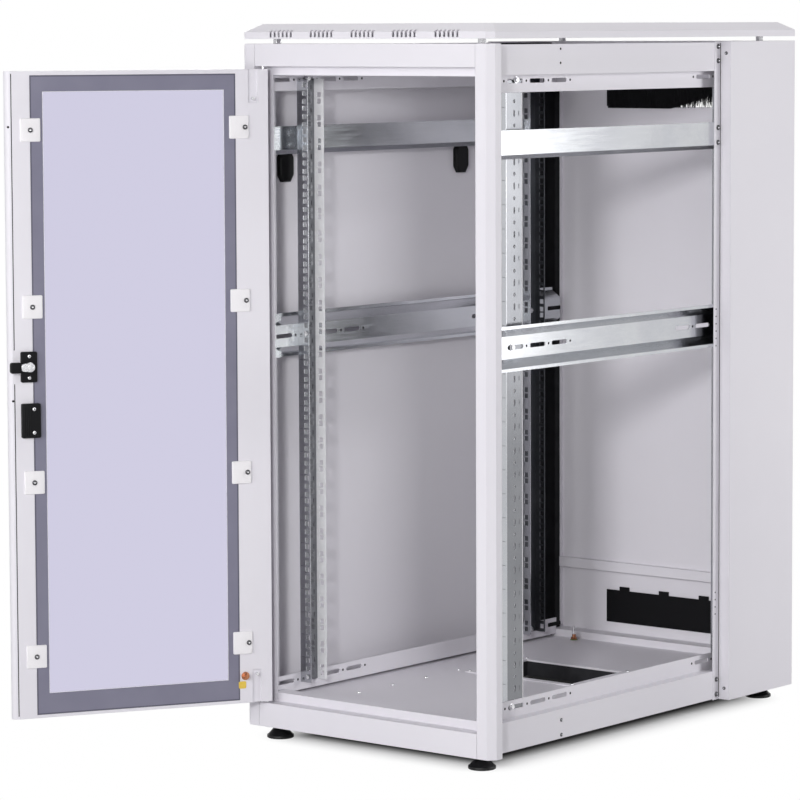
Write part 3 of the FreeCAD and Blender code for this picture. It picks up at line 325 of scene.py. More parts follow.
class Shape:
    """Points and faces that grow into one piece."""

    def __init__(self):
        self.points = []
        self.faces = []

    def add(self, points, faces):
        """Add points, and faces that count from the first of them."""
        first = len(self.points)
        self.points.extend(points)
        self.faces.extend([tuple(first + corner for corner in face) for face in faces])

    def place(self, other, matrix=IDENTITY):
        """Add a copy of another shape at a place."""
        self.add([matrix @ Vector(point) for point in other.points], other.faces)

    def piece(self, name, body, material, slot, matrix=IDENTITY, smooth=None, edge=0.0, replaces=()):
        """Make the piece in the scene and let it ride on a body."""
        mesh = bpy.data.meshes.new(name)
        mesh.from_pydata([tuple(matrix @ Vector(point)) for point in self.points], [], self.faces)
        if edge:
            soften_edges(mesh, edge)
        mesh.update()
        mesh.materials.append(material)
        made = add_object(name, mesh)
        if smooth is not None:
            mesh.shade_smooth()
            mesh.set_sharp_from_angle(angle=math.radians(smooth))
        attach(made, body)
        if replaces:
            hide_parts(*replaces)


def soften_edges(mesh, width):
    """Bevel the sharp edges of a mesh."""
    least_angle = math.radians(30)
    work = bmesh.new()
    work.from_mesh(mesh)
    sharp = [line for line in work.edges
             if len(line.link_faces) == 2 and line.calc_face_angle() > least_angle]
    bmesh.ops.bevel(work, geom=sharp, offset=width, segments=2, profile=0.5, affect="EDGES",
                    clamp_overlap=True)
    work.to_mesh(mesh)
    work.free()


def block(low, high):
    """A block between two corners, used inside larger pieces."""
    x0, y0, z0 = low
    x1, y1, z1 = high
    shape = Shape()
    shape.add([(x0, y0, z0), (x1, y0, z0), (x1, y1, z0), (x0, y1, z0),
               (x0, y0, z1), (x1, y0, z1), (x1, y1, z1), (x0, y1, z1)],
              [(0, 3, 2, 1), (4, 5, 6, 7), (0, 1, 5, 4), (1, 2, 6, 5), (2, 3, 7, 6), (3, 0, 4, 7)])
    return shape


def stacked(rows):
    """A closed shape over outlines with equally many points, one above the other."""
    count = len(rows[0])
    last = (len(rows) - 1) * count
    faces = [tuple(reversed(range(count)))]
    for first in range(0, last, count):
        for step in range(count):
            after = (step + 1) % count
            faces.append((first + step, first + after, first + count + after, first + count + step))
    faces.append(tuple(range(last, last + count)))
    shape = Shape()
    shape.add([point for row in rows for point in row], faces)
    return shape


def turned(profile, segments):
    """A shape turned about Z from (radius, height) points, closed at both ends."""
    angles = [2 * math.pi * step / segments for step in range(segments)]
    return stacked([[(radius * math.cos(angle), radius * math.sin(angle), height) for angle in angles]
                    for radius, height in profile])


def rounded_outline(width, height, radius, steps):
    """Points of a rectangle with round corners, centred on the origin, turning left."""
    points = []
    for turn, (sign_x, sign_y) in enumerate(((1, 1), (-1, 1), (-1, -1), (1, -1))):
        for step in range(steps + 1):
            angle = math.pi / 2 * (turn + step / steps)
            points.append((sign_x * (width / 2 - radius) + radius * math.cos(angle),
                           sign_y * (height / 2 - radius) + radius * math.sin(angle)))
    return points


def soft_plate(width, height, depth, radius, edge, steps=5):
    """A plate on Z = 0 with round corners and a rounded upper edge."""
    edge_steps = 3
    least_radius = 0.1 * MM
    levels = [(0.0, 0.0), (depth - edge, 0.0)]
    for step in range(1, edge_steps + 1):
        angle = math.pi / 2 * step / edge_steps
        levels.append((depth - edge + edge * math.sin(angle), edge * (1 - math.cos(angle))))
    rows = []
    for level, inset in levels:
        corner = max(radius - inset, least_radius)
        outline = rounded_outline(width - 2 * inset, height - 2 * inset, corner, steps)
        rows.append([(x, y, level) for x, y in outline])
    return stacked(rows)


def screw_head(radius):
    """A domed screw head on Z = 0."""
    dome = [(1.0, 0.0), (1.0, 0.18), (0.92, 0.38), (0.72, 0.54), (0.42, 0.63)]
    return turned([(radius * out, radius * up) for out, up in dome], 20)


def cross_recess(radius):
    """The dark cross in the top of a screw head: painted shade of the recess."""
    arm = radius * 0.55
    half = radius * 0.12
    low = radius * 0.45
    top = radius * 0.65
    shape = Shape()
    shape.place(block((-arm, -half, low), (arm, half, top)))
    shape.place(block((-half, -arm, low), (half, arm, top)))
    return shape


def hexagon_head(radius, height):
    """A hexagonal nut or bolt head with a chamfered top."""
    flank, crown = 0.8, 0.86
    return turned([(radius, 0.0), (radius, height * flank), (radius * crown, height)], 6)


def facing(point, normal):
    """A place whose Z axis looks along a normal, with Y upright where it can be."""
    parallel = 1e-6
    z = Vector(normal).normalized()
    x = Vector((0, 0, 1)).cross(z)
    if x.length < parallel:
        x = Vector((1, 0, 0))
    x.normalize()
    y = z.cross(x)
    matrix = Matrix((x, y, z)).transposed().to_4x4()
    matrix.translation = Vector(point)
    return matrix


def add_screws(name, body, places, radius, matrix=IDENTITY):
    """A set of bright domed screws with dark crosses of painted shade for their recesses, as two pieces."""
    heads = Shape()
    marks = Shape()
    for point, normal in places:
        spot = facing(point, normal)
        heads.place(screw_head(radius), spot)
        marks.place(cross_recess(radius), spot)
    heads.piece(name, body, PLATED, "bright_plated_steel", matrix, smooth=40)
    marks.piece(name + "_recess_shades", body, DARK_STEEL_AND_SHADE, "bright_plated_steel", matrix)


def add_ringed_screws(name, body, places, radius, matrix=IDENTITY):
    """Domed screws with a dark head and a bright cap on top that is a painted highlight, as two pieces."""
    profile = ((0.36, 0.4), (0.34, 0.66), (0.2, 0.72))
    # Painted highlight: a bright cap on top of each dark head
    crown = turned([(radius * out, radius * up) for out, up in profile], 16)
    rings = Shape()
    highlight_caps = Shape()
    for point, normal in places:
        spot = facing(point, normal)
        rings.place(screw_head(radius), spot)
        highlight_caps.place(crown, spot)
    rings.piece(name, body, DARK_STEEL_AND_SHADE, "bright_plated_steel", matrix, smooth=40)
    highlight_caps.piece(name + "_painted_highlights", body, PLATED, "bright_plated_steel", matrix, smooth=40)


def add_small_holes(name, body, places, radius, matrix=IDENTITY):
    """Small holes seen as shaded discs, a hair above the sheet."""
    proud = 0.1 * MM
    disc = turned([(radius, 0.0), (radius, proud)], 16)
    holes = Shape()
    for point, normal in places:
        holes.place(disc, facing(point, normal))
    holes.piece(name, body, SHADE, "black_plastic", matrix)


def holed_sheet(u_range, v_range, squares, slots, thickness, to_space):
    """A flat sheet with square holes and round-ended slots; to_space maps (u, v, depth) to the frame."""
    segments = 12
    quarter = segments // 4
    digits = 7
    cells = [(u - half, u + half, v - half, v + half, None) for u, v, half in squares]
    for u, v, half_u, half_v, cell_u, cell_v in slots:
        cells.append((u - cell_u, u + cell_u, v - cell_v, v + cell_v, (u, v, half_u, half_v)))
    cells = [tuple(round(side, digits) for side in cell[:4]) + cell[4:] for cell in cells]
    us = sorted({round(u, digits) for u in u_range} | {side for cell in cells for side in cell[:2]})
    vs = sorted({round(v, digits) for v in v_range} | {side for cell in cells for side in cell[2:4]})
    holes = {(us.index(cell[0]), vs.index(cell[2])): cell for cell in cells}
    flat = [(u, v) for v in vs for u in us]
    width = len(us)
    faces = []
    for row in range(len(vs) - 1):
        for column in range(width - 1):
            corners = [row * width + column, row * width + column + 1,
                       (row + 1) * width + column + 1, (row + 1) * width + column]
            cell = holes.get((column, row))
            if cell is None:
                faces.append(tuple(corners))
            elif cell[4]:
                middle_u, middle_v, half_u, half_v = cell[4]
                ring = []
                for step in range(segments):
                    angle = 2 * math.pi * step / segments - 3 * math.pi / 4
                    rise = math.sin(angle)
                    shift = math.copysign(half_v - half_u, rise) if abs(rise) > 0.1 else 0
                    ring.append(len(flat))
                    flat.append((middle_u + half_u * math.cos(angle), middle_v + half_u * rise + shift))
                for side in range(4):
                    arc = [ring[(side * quarter + step) % segments] for step in range(quarter + 1)]
                    faces.append((corners[side], corners[(side + 1) % 4], *reversed(arc)))
    edges = set()
    for face in faces:
        edges.update(zip(face, face[1:] + face[:1]))
    count = len(flat)
    points = [to_space(u, v, 0.0) for u, v in flat] + [to_space(u, v, thickness) for u, v in flat]
    both = faces + [tuple(count + corner for corner in reversed(face)) for face in faces]
    walls = [(second, first, count + first, count + second)
             for first, second in edges if (second, first) not in edges]
    shape = Shape()
    shape.add(points, both + walls)
    return shape


def rectangle_ring(outer, inner, near, far, to_space):
    """A mitred ring between two rectangles from one depth to another; to_space maps (u, v, depth)."""
    rings = []
    for low, high in (outer, inner):
        rings += [(low[0], low[1]), (high[0], low[1]), (high[0], high[1]), (low[0], high[1])]
    points = [to_space(u, v, near) for u, v in rings] + [to_space(u, v, far) for u, v in rings]
    faces = []
    for side in range(4):
        after = (side + 1) % 4
        faces.append((side, after, after + 4, side + 4))
        faces.append((side + 8, side + 12, after + 12, after + 8))
        faces.append((side, side + 8, after + 8, after))
        faces.append((side + 4, after + 4, after + 12, side + 12))
    ring = Shape()
    ring.add(points, faces)
    return ring


# Pieces of the cabinet

def rack_rail(end, side):
    """A rack rail: square holes in the flange, holes and slots in the web, square pairs in the return."""
    node = f"{end}_{side}_rack_rail"
    at_front = end == "front"
    low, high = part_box(node)
    sign = 1 if side == "right" else -1
    inward = 1 if at_front else -1
    face_y, back_y = (low.y, high.y) if at_front else (high.y, low.y)
    inner = min(abs(low.x), abs(high.x))
    outer = max(abs(low.x), abs(high.x))
    levels = (low.z, high.z)
    base = low.z + RAIL_MARGIN
    depth = abs(back_y - face_y)
    half = SQUARE / 2
    units = range(UNITS)

    def flange(u, v, sunk):
        return (sign * u, face_y + inward * sunk, v)

    def returned(u, v, sunk):
        return (sign * u, back_y - inward * sunk, v)

    def web(u, v, sunk):
        return (sign * (outer - sunk), face_y + inward * u, v)

    front_holes = [(HOLE_X, base + unit * UNIT + place, half) for unit in units for place in HOLES_IN_UNIT]
    front = holed_sheet((inner, outer), levels, front_holes, [], STEEL, flange)
    # Painted shade: the rear rails take the darkest copy of the zinc
    coat = ZINC if at_front else ZINC_REAR_SHADED
    front.piece(node + "_perforated", "cabinet", coat, "zinc_plated_steel", replaces=[node])

    # Half sizes of the web's round holes, slots and narrow slots, and of the cells of sheet that hold them
    round_half = 3.5 * MM
    slot_half = mm(2.4, 6.2)
    narrow_half = mm(1.2, 4.4)
    narrow_inset = 11 * MM
    middle_cell, edge_cell, level_cell = mm(4.6, 2.2, 7.5)
    web_holes = []
    for unit in units:
        round_level = base + (unit + 0.25) * UNIT
        slot_level = base + (unit + 0.75) * UNIT
        web_holes.append((depth / 2, round_level, round_half, round_half, middle_cell, middle_cell))
        web_holes.append((depth / 2, slot_level, *slot_half, middle_cell, level_cell))
        web_holes.append((depth - narrow_inset, slot_level, *narrow_half, edge_cell, level_cell))
    upright = holed_sheet((STEEL, depth - STEEL), levels, [], web_holes, STEEL, web)
    # Painted shade: the front webs take a darker copy of the zinc, the rear webs the darkest copy
    web_coat = ZINC_WEB_SHADED if at_front else ZINC_REAR_SHADED
    upright.piece(node + "_web", "cabinet", web_coat, "zinc_plated_steel")

    return_width, hole_inset, pair_gap = mm(25, 11, 12.7)
    return_x = outer - return_width + hole_inset
    pair = (HOLES_IN_UNIT[0], HOLES_IN_UNIT[0] + pair_gap)
    return_holes = [(return_x, base + unit * UNIT + place, half) for unit in units for place in pair]
    back = holed_sheet((outer - return_width, outer), levels, return_holes, [], STEEL, returned)
    # Painted light: the front returns take the pale copy of the zinc
    back_coat = ZINC_RETURN_LIT if at_front else ZINC
    back.piece(node + "_return", "cabinet", back_coat, "zinc_plated_steel")

    mark_start, mark_end, half_line, proud = mm(8.5, 15.5, 0.4, 0.15)
    mark_low, mark_high = sorted((sign * (HOLE_X + mark_start), sign * (HOLE_X + mark_end)))
    marks = Shape()
    for unit in range(UNITS + 1):
        level = base + unit * UNIT
        marks.place(block((mark_low, face_y - proud, level - half_line),
                          (mark_high, face_y + proud, level + half_line)))
    marks.piece(node + "_unit_marks", "cabinet", MARK, "black_plastic")


def feet():
    """Levelling feet: a disc with a soft edge, a cone with a waist, and a nut under the base."""
    low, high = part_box("levelling_feet")
    radius, cone_top, nut_radius = mm(26, 21.3, 8.4)
    profile = [(24.6, 0.0), (26.0, 1.2), (26.0, 4.8), (25.2, 6.2), (23.0, 7.6), (14.2, 17.6), (12.4, 20.2),
               (11.6, 21.2), (8.0, 21.4)]
    disc = turned([mm(*point) for point in profile], 48)
    nut = hexagon_head(nut_radius, high.z - cone_top)
    discs = Shape()
    nuts = Shape()
    for x in (low.x + radius, high.x - radius):
        for y in (low.y + radius, high.y - radius):
            discs.place(disc, Matrix.Translation((x, y, 0)))
            nuts.place(nut, Matrix.Translation((x, y, cone_top)))
    discs.piece("foot_discs", "cabinet", RUBBER, "black_rubber", smooth=35, replaces=["levelling_feet"])
    nuts.piece("foot_nuts", "cabinet", PLATED, "bright_plated_steel")


def brush():
    """The rear brush strip: a holder at the top with bristles that hang from it, ragged on the right."""
    low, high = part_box("rear_brush_strip")
    holder_height, end_width, holder_edge = mm(9, 3, 0.6)
    under = high.z - holder_height
    holder = Shape()
    holder.place(block((low.x, low.y, under), (high.x, high.y, high.z)))
    holder.place(block((low.x, low.y, low.z), (low.x + end_width, high.y, under)))
    holder.place(block((high.x - end_width, low.y, low.z), (high.x, high.y, under)))
    holder.piece("brush_holder", "cabinet", BLACK, "black_plastic", edge=holder_edge,
                 replaces=["rear_brush_strip"])
    source = random.Random(4)
    count = 3600
    half, root, overhang = mm(0.35, 1, 4)
    margin_x, margin_y, lean_x, lean_y, fringe = mm(4, 1, 2.5, 1, 1)
    # Towards the right end the tips rise, all but the few long ones that the power leaves
    ragged_from, ragged_growth, power = 0.1, 40 * MM, 6
    bristles = Shape()
    for number in range(count):
        x = low.x + margin_x + (high.x - low.x - 2 * margin_x) * (number + source.random()) / count
        y = low.y + margin_y + (high.y - low.y - 2 * margin_y) * source.random()
        tip_x = x + source.uniform(-lean_x, lean_x)
        tip_y = min(max(y + source.uniform(-lean_y, lean_y), low.y + half), high.y - half)
        chance = source.uniform(0.0, 1.0)
        raggedness = ragged_growth * max(0.0, x / high.x - ragged_from)
        tip = low.z - overhang + chance * fringe + raggedness * (1 - chance ** power)
        points = []
        for px, py, pz in ((x, y, under + root), (tip_x, tip_y, tip)):
            points += [(px - half, py - half, pz), (px + half, py - half, pz), (px, py + half, pz)]
        bristles.add(points, [(0, 1, 4, 3), (1, 2, 5, 4), (2, 0, 3, 5), (0, 2, 1), (3, 4, 5)])
    bristles.piece("brush_bristles", "cabinet", BRISTLE, "black_bristles")


def latches():
    """Black latches of the left side panel, with cut corners and a sloping edge."""
    low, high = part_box("side_panel_latches")
    width, cut_across, cut_up, slope = mm(40, 9, 13, 2.5)
    depth_share = 0.7
    height = high.z - low.z
    depth = (high.x - low.x) * depth_share
    outlines = []
    for level, inset in ((0.0, 0.0), (depth - slope, 0.0), (depth, slope)):
        half_u, half_v = width / 2 - inset, height / 2 - inset
        corners = [(half_u, half_v - cut_up), (half_u - cut_across, half_v),
                   (cut_across - half_u, half_v), (-half_u, half_v - cut_up),
                   (-half_u, cut_up - half_v), (cut_across - half_u, -half_v),
                   (half_u - cut_across, -half_v), (half_u, cut_up - half_v)]
        outlines.append([(u, v, level) for u, v in corners])
    latch = stacked(outlines)
    both = Shape()
    for y in (low.y + width / 2, high.y - width / 2):
        both.place(latch, facing((low.x, y, (low.z + high.z) / 2), (1, 0, 0)))
    both.piece("panel_latches", "cabinet", BLACK, "black_plastic", replaces=["side_panel_latches"])


def entry_shade_skirt():
    """Painted shade: a near black skirt around the cable entry, below the floor sheet."""
    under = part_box("floor_pan")[0].z
    half_width, front, rear = mm(118, -10, 162)
    thick, depth = mm(2, 30)
    inner = ((-half_width, front), (half_width, rear))
    outer = ((-half_width - thick, front - thick), (half_width + thick, rear + thick))

    def below(u, v, sunk):
        return (u, v, under - sunk)

    skirt = rectangle_ring(outer, inner, 0.0, depth, below)
    skirt.piece("entry_shade_skirt", "cabinet", SHADE_SHEET, "black_plastic")


def column_shade_sheets():
    """Painted shade: near black sheets on the skin and the rear face inside the cable space of both rear columns.
    """
    low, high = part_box("rear_right_column")
    thin, front_gap, end_gap, seat_gap = mm(0.4, 23, 3, 1)
    skin = high.x - STEEL
    rear = high.y - STEEL
    bottom, top = low.z + end_gap, high.z - end_gap
    shade_sheets = Shape()
    for sign in (-1, 1):
        near, far = sorted((sign * skin, sign * (skin - thin)))
        shade_sheets.place(block((near, low.y + front_gap, bottom), (far, rear, top)))
        near, far = sorted((sign * (skin - thin), sign * (COLUMN_SEAT + seat_gap)))
        shade_sheets.place(block((near, rear - thin, bottom), (far, rear, top)))
    shade_sheets.piece("rear_column_shade_sheets", "cabinet", SHADE_SHEET, "black_plastic")


def rail_end_slots():
    """Shaded slots near the rear ends of the middle and base rails, on the inner face of the sheet."""
    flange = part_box("right_base_rail")[0].x
    width, height, depth, corner, edge = mm(45, 8.5, 0.12, 2.5, 0.04)
    slot = soft_plate(width, height, depth, corner, edge)
    slot_y = 433 * MM
    slots = Shape()
    for sign in (-1, 1):
        for level in (BASE_ROW, MIDDLE_ROW):
            slots.place(slot, facing((sign * flange, slot_y, level), (-sign, 0, 0)))
    slots.piece("rail_end_slots", "cabinet", SHADE, "black_plastic")


def rail_bolts():
    """Bolts that hold the rack rails to the side rails, with washers, and nuts on the inner side."""
    base_low, base_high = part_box("right_base_rail")
    middle_low, middle_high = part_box("right_middle_side_rail")
    front_low, front_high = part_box("front_right_rack_rail")
    rear_low, rear_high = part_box("rear_right_rack_rail")
    below_base_top, above_top_foot = mm(12, 23)
    base = base_high.z - below_base_top
    middle = (middle_low.z + middle_high.z) / 2
    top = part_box("right_top_rail")[0].z + above_top_foot
    front_y = (front_low.y + front_high.y) / 2
    rear_y = (rear_low.y + rear_high.y) / 2 + 5 * MM
    front_shifts = dict(zip((base, middle, top), mm(-14, -11, 3)))
    head_radius, head_height, nut_height, lift = mm(5.2, 3.6, 4.4, 1.2)
    washer = turned([mm(6.6, 0.0), mm(6.6, 1.0), mm(6.2, 1.3)], 24)
    on_washer = Matrix.Translation((0, 0, lift))
    flange = base_low.x
    bolts = Shape()
    for sign in (-1, 1):
        for level in (base, middle, top):
            for y in (front_y + front_shifts[level], rear_y):
                outside = facing((sign * (flange + STEEL), y, level), (sign, 0, 0))
                bolts.place(washer, outside)
                bolts.place(hexagon_head(head_radius, head_height), outside @ on_washer)
                inside = facing((sign * (flange - STEEL), y, level), (-sign, 0, 0))
                bolts.place(washer, inside)
                bolts.place(hexagon_head(head_radius, nut_height), inside @ on_washer)
    bolts.piece("rack_rail_bolts", "cabinet", PLATED, "bright_plated_steel", smooth=30)


def column_details():
    """Domed screws, spare holes and a strip of painted shade in the gap at the recessed strip, in both rear
    columns.
    """
    low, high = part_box("rear_right_column")
    strip_end = low.y + 20 * MM
    screw_y = low.y + 10.5 * MM
    hole_y = low.y + 6.5 * MM
    flange_x = 289 * MM
    screw_levels = mm(36.9, 66.8, 1133.1, 1162.2, 1293.0, 1320.7)
    flange_levels = mm(48.8, 1307.7)
    hole_levels = mm(*[732.7 + 14.5 * number for number in range(6)],
                     *[198.3 + 14.4 * number for number in range(4)])
    sunk, proud, gap_shade_width, gap_shade_inset, end_gap = mm(0.05, 0.1, 2.0, 0.1, 4)
    screws = []
    small_screws = []
    holes = []
    gap_shades = Shape()
    for sign in (-1, 1):
        screws += [((sign * COLUMN_SEAT, screw_y, level), (sign, 0, 0)) for level in screw_levels]
        small_screws += [((sign * flange_x, strip_end, level), (0, -1, 0)) for level in flange_levels]
        for level in hole_levels:
            holes.append(((sign * COLUMN_SEAT, hole_y, level), (sign, 0, 0)))
            holes.append(((sign * (COLUMN_SEAT - STEEL), hole_y, level), (-sign, 0, 0)))
        # Painted shade: a thin dark strip where the gap at the edge of the recessed strip lies in shade
        side_low, side_high = sorted((sign * (COLUMN_SEAT - sunk), sign * (COLUMN_SEAT + proud)))
        gap_shades.place(block((side_low, strip_end - gap_shade_width, low.z + end_gap),
                          (side_high, strip_end - gap_shade_inset, high.z - end_gap)))
    add_ringed_screws("column_screws", "cabinet", screws, radius=5.0 * MM)
    add_ringed_screws("column_flange_screws", "cabinet", small_screws, radius=3.4 * MM)
    add_small_holes("column_spare_holes", "cabinet", holes, radius=1.6 * MM)
    gap_shades.piece("column_gap_shades", "cabinet", SHADE, "black_plastic")


def side_rail_details():
    """Round holes between the slots of the side rails, and the screws and holes of base and top rails."""
    low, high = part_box("right_base_rail")
    flange, face = low.x, high.x
    between_slots = mm(-400.5, -332.5, -264.5, -196.5, 209.5, 277.5)
    joint_hole_y, joint_screw_y = mm(-256, -255)
    joint_hole_levels = mm(1294, 1320)
    joint_screw_levels = mm(35, 63)
    holes = []
    screws = []
    for sign in (-1, 1):
        for level in (BASE_ROW, MIDDLE_ROW, TOP_ROW):
            for y in between_slots:
                under_bolt = sign > 0 and level == MIDDLE_ROW and y == between_slots[0]
                if not under_bolt:
                    holes.append(((sign * (flange + STEEL), y, level), (sign, 0, 0)))
                    holes.append(((sign * flange, y, level), (-sign, 0, 0)))
        holes += [((sign * face, joint_hole_y, level), (sign, 0, 0)) for level in joint_hole_levels]
        screws += [((sign * face, joint_screw_y, level), (sign, 0, 0)) for level in joint_screw_levels]
    add_small_holes("side_rail_holes", "cabinet", holes, radius=2.4 * MM)
    add_ringed_screws("base_rail_screws", "cabinet", screws, radius=3.6 * MM)


def floor_screws():
    """Screws that hold the floor plate and the rim of its cable entry."""
    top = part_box("floor_pan")[1].z
    sheet = top - STEEL
    row_x, row_start, row_step, rim_x = mm(157, -330, 105, 126)
    rim_ends = mm(-18, 170)
    places = []
    for sign in (-1, 1):
        places += [((sign * row_x, row_start + number * row_step, sheet), (0, 0, 1)) for number in range(4)]
        places += [((sign * rim_x, y, top), (0, 0, 1)) for y in rim_ends]
    add_screws("floor_screws", "cabinet", places, radius=3.8 * MM)


# Pieces of the door

def on_door(x, level, face):
    """A place on a face of the door's inner side, in the door's frame, looking into the cabinet."""
    return facing((x, face, level), (0, 1, 0))


def clips(node, screw_shift):
    """White moulded clips with a dark screw towards the stile."""
    low, high = door_box(node)
    rows = 4
    height, corner, edge = mm(43, 2.4, 1.2)
    width = high.x - low.x
    middle_x = (low.x + high.x) / 2
    step = (high.z - low.z - height) / (rows - 1)
    plate = soft_plate(width, height, high.y - low.y, corner, edge)
    plates = Shape()
    screws = []
    for row in range(rows):
        level = low.z + height / 2 + row * step
        plates.place(plate, on_door(middle_x, level, low.y))
        screws.append(((middle_x + screw_shift, high.y, level), (0, 1, 0)))
    plates.piece(node + "_moulded", "door", WHITE, "light_grey_paint", DOOR, smooth=40, replaces=[node])
    add_ringed_screws(node + "_screws", "door", screws, radius=4.8 * MM, matrix=DOOR)


def border_ring(name, outer, inner, face, material):
    """A thin mitred ring between two rectangles, on a face of the pane, in the door's frame."""
    thick = 0.25 * MM

    def on_pane(u, v, proud):
        return (u, face + proud, v)

    border = rectangle_ring(outer, inner, 0.0, thick, on_pane)
    border.piece(name, "door", material, "tinted_glass", DOOR)


def glass_border():
    """The printed border on the inner face of the pane: a dark outer line, a grey band and a bright edge."""
    low, high = door_box("door_glass")
    line, bright = mm(2.6, 1.1)
    hinge_side, free_side, bottom, top = mm(24, 25, 41, 31)
    outer = ((low.x, low.z), (high.x, high.z))
    lined = ((low.x + line, low.z + line), (high.x - line, high.z - line))
    inner = ((low.x + hinge_side, low.z + bottom), (high.x - free_side, high.z - top))
    edged = ((inner[0][0] - bright, inner[0][1] - bright), (inner[1][0] + bright, inner[1][1] + bright))
    border_ring("glass_border_line", outer, lined, high.y, PRINT_LINE)
    border_ring("glass_border", lined, edged, high.y, PRINT)
    border_ring("glass_border_edge", edged, inner, high.y, GLASS_EDGE)


def door_rim():
    """Strips of painted shade in the gaps at the rounded free rim and at the hinge edge, and two small holes in
    the rim.
    """
    low, high = door_box("door_frame")
    radius, rim_step, hinge_setback, hinge_slope = mm(10, 2, 6, 5)
    sunk, proud, gap, gap_shade_end, end_gap = mm(0.05, 0.12, 0.1, 1.7, 5)
    gap_shade_x = high.x - radius - rim_step
    face = 2 * radius - hinge_setback
    # Painted shade: thin dark strips where the step at the rim and the gap at the hinge edge lie in shade
    gap_shade = Shape()
    gap_shade.place(block((gap_shade_x + gap, face - sunk, low.z + end_gap),
                     (gap_shade_x + gap_shade_end, face + proud, high.z - end_gap)))
    hinge_gap_shade, corner, edge = mm(7, 0.5, 0.04)
    gap_shade_share = 0.78
    slope = Vector((hinge_slope, high.y - low.y, 0))
    hinge_face = Vector((low.x, low.y, (low.z + high.z) / 2)) + slope * gap_shade_share
    gap_shade.place(soft_plate(hinge_gap_shade, high.z - low.z - 2 * end_gap, proud, corner, edge),
               facing(hinge_face, (-slope.y, slope.x, 0)))
    gap_shade.piece("door_rim_gap_shade", "door", SHADE, "black_plastic", DOOR)
    centre = high.x - radius
    holes = []
    for across, level in ((0.46, 1180.8 * MM), (0.2, 674.0 * MM)):
        along = math.sqrt(1 - across * across)
        point = (centre + across * radius, face - radius + along * radius, level)
        holes.append((point, (across, along, 0)))
    add_small_holes("door_rim_holes", "door", holes, radius=2.2 * MM, matrix=DOOR)


def lock():
    """The black lock plate, its turning hub and lever, and the black sleeve at the lever's tip."""
    low, high = door_box("lock_housing")
    level = (low.z + high.z) / 2
    pivot = (low.x + high.x) / 2
    corner, edge, screw_rise = mm(3, 1.4, 20)
    plate = Shape()
    plate.place(soft_plate(high.x - low.x, high.z - low.z, high.y - low.y, corner, edge),
                on_door(pivot, level, low.y))
    plate.piece("lock_plate", "door", BLACK, "black_plastic", DOOR, smooth=40, replaces=["lock_housing"])
    screws = [((pivot, high.y, level + side * screw_rise), (0, 1, 0)) for side in (-1, 1)]
    add_screws("lock_screws", "door", screws, radius=3.4 * MM, matrix=DOOR)

    cam_low, cam_high = door_box("lock_cam")
    cam_depth, lever_tail, lever_height, lever_corner, lever_edge = mm(4, 8, 15, 7, 0.7)
    bolt_radius, bolt_height, chamfer = mm(5.4, 1.2, 0.8)
    cam_face = cam_high.y - cam_depth
    radius = pivot - cam_low.x
    hub_height = cam_face - cam_low.y
    hub = turned([(radius, 0.0), (radius, hub_height - chamfer), (radius - chamfer, hub_height)], 40)
    lever = soft_plate(cam_high.x - pivot + lever_tail, lever_height, cam_depth - chamfer, lever_corner,
                       lever_edge, steps=8)
    cam = Shape()
    cam.place(hub, on_door(pivot, level, cam_low.y))
    cam.place(lever, on_door((cam_high.x + pivot - lever_tail) / 2, level, cam_face))
    cam.place(hexagon_head(bolt_radius, bolt_height), on_door(pivot, level, cam_high.y - bolt_height))
    cam.piece("lock_cam_lever", "lock_cam", PLATED, "bright_plated_steel", DOOR, smooth=35,
              replaces=["lock_cam"])

    tip_low, tip_high = door_box("cam_sleeve")
    tip_corner, tip_edge = mm(4, 2)
    sleeve = Shape()
    sleeve.place(soft_plate(tip_high.x - tip_low.x, tip_high.z - tip_low.z, tip_high.y - tip_low.y,
                            tip_corner, tip_edge),
                 on_door((tip_low.x + tip_high.x) / 2, level, tip_low.y))
    sleeve.piece("lock_cam_sleeve", "lock_cam", BLACK, "black_plastic", DOOR, smooth=40,
                 replaces=["cam_sleeve"])


def handle_cover():
    """The black cover of the outer handle's fixing, with upright ribs and two bright screws."""
    low, high = door_box("handle_cover")
    corner, edge = mm(3, 1.5)
    rib_width, rib_depth, rib_root, rib_corner, rib_edge = mm(2.0, 1.2, 0.4, 0.9, 0.7)
    rib_start, rib_step, rib_margin = mm(4.5, 3.6, 7)
    screw_inset, screw_rise = mm(13, 22)
    level = (low.z + high.z) / 2
    height = high.z - low.z
    rib_foot = high.y - rib_depth - rib_root
    rib = soft_plate(rib_width, height - rib_margin, rib_depth + rib_root, rib_corner, rib_edge)
    cover = Shape()
    cover.place(soft_plate(high.x - low.x, height, high.y - low.y - rib_depth, corner, edge),
                on_door((low.x + high.x) / 2, level, low.y))
    for number in range(4):
        cover.place(rib, on_door(high.x - rib_start - rib_step * number, level, rib_foot))
    cover.piece("handle_cover_ribbed", "door", BLACK, "black_plastic", DOOR, smooth=40,
                replaces=["handle_cover"])
    screws = [((low.x + screw_inset, high.y - rib_depth, level + side * screw_rise), (0, 1, 0))
              for side in (-1, 1)]
    add_screws("handle_cover_screws", "door", screws, radius=3.6 * MM, matrix=DOOR)


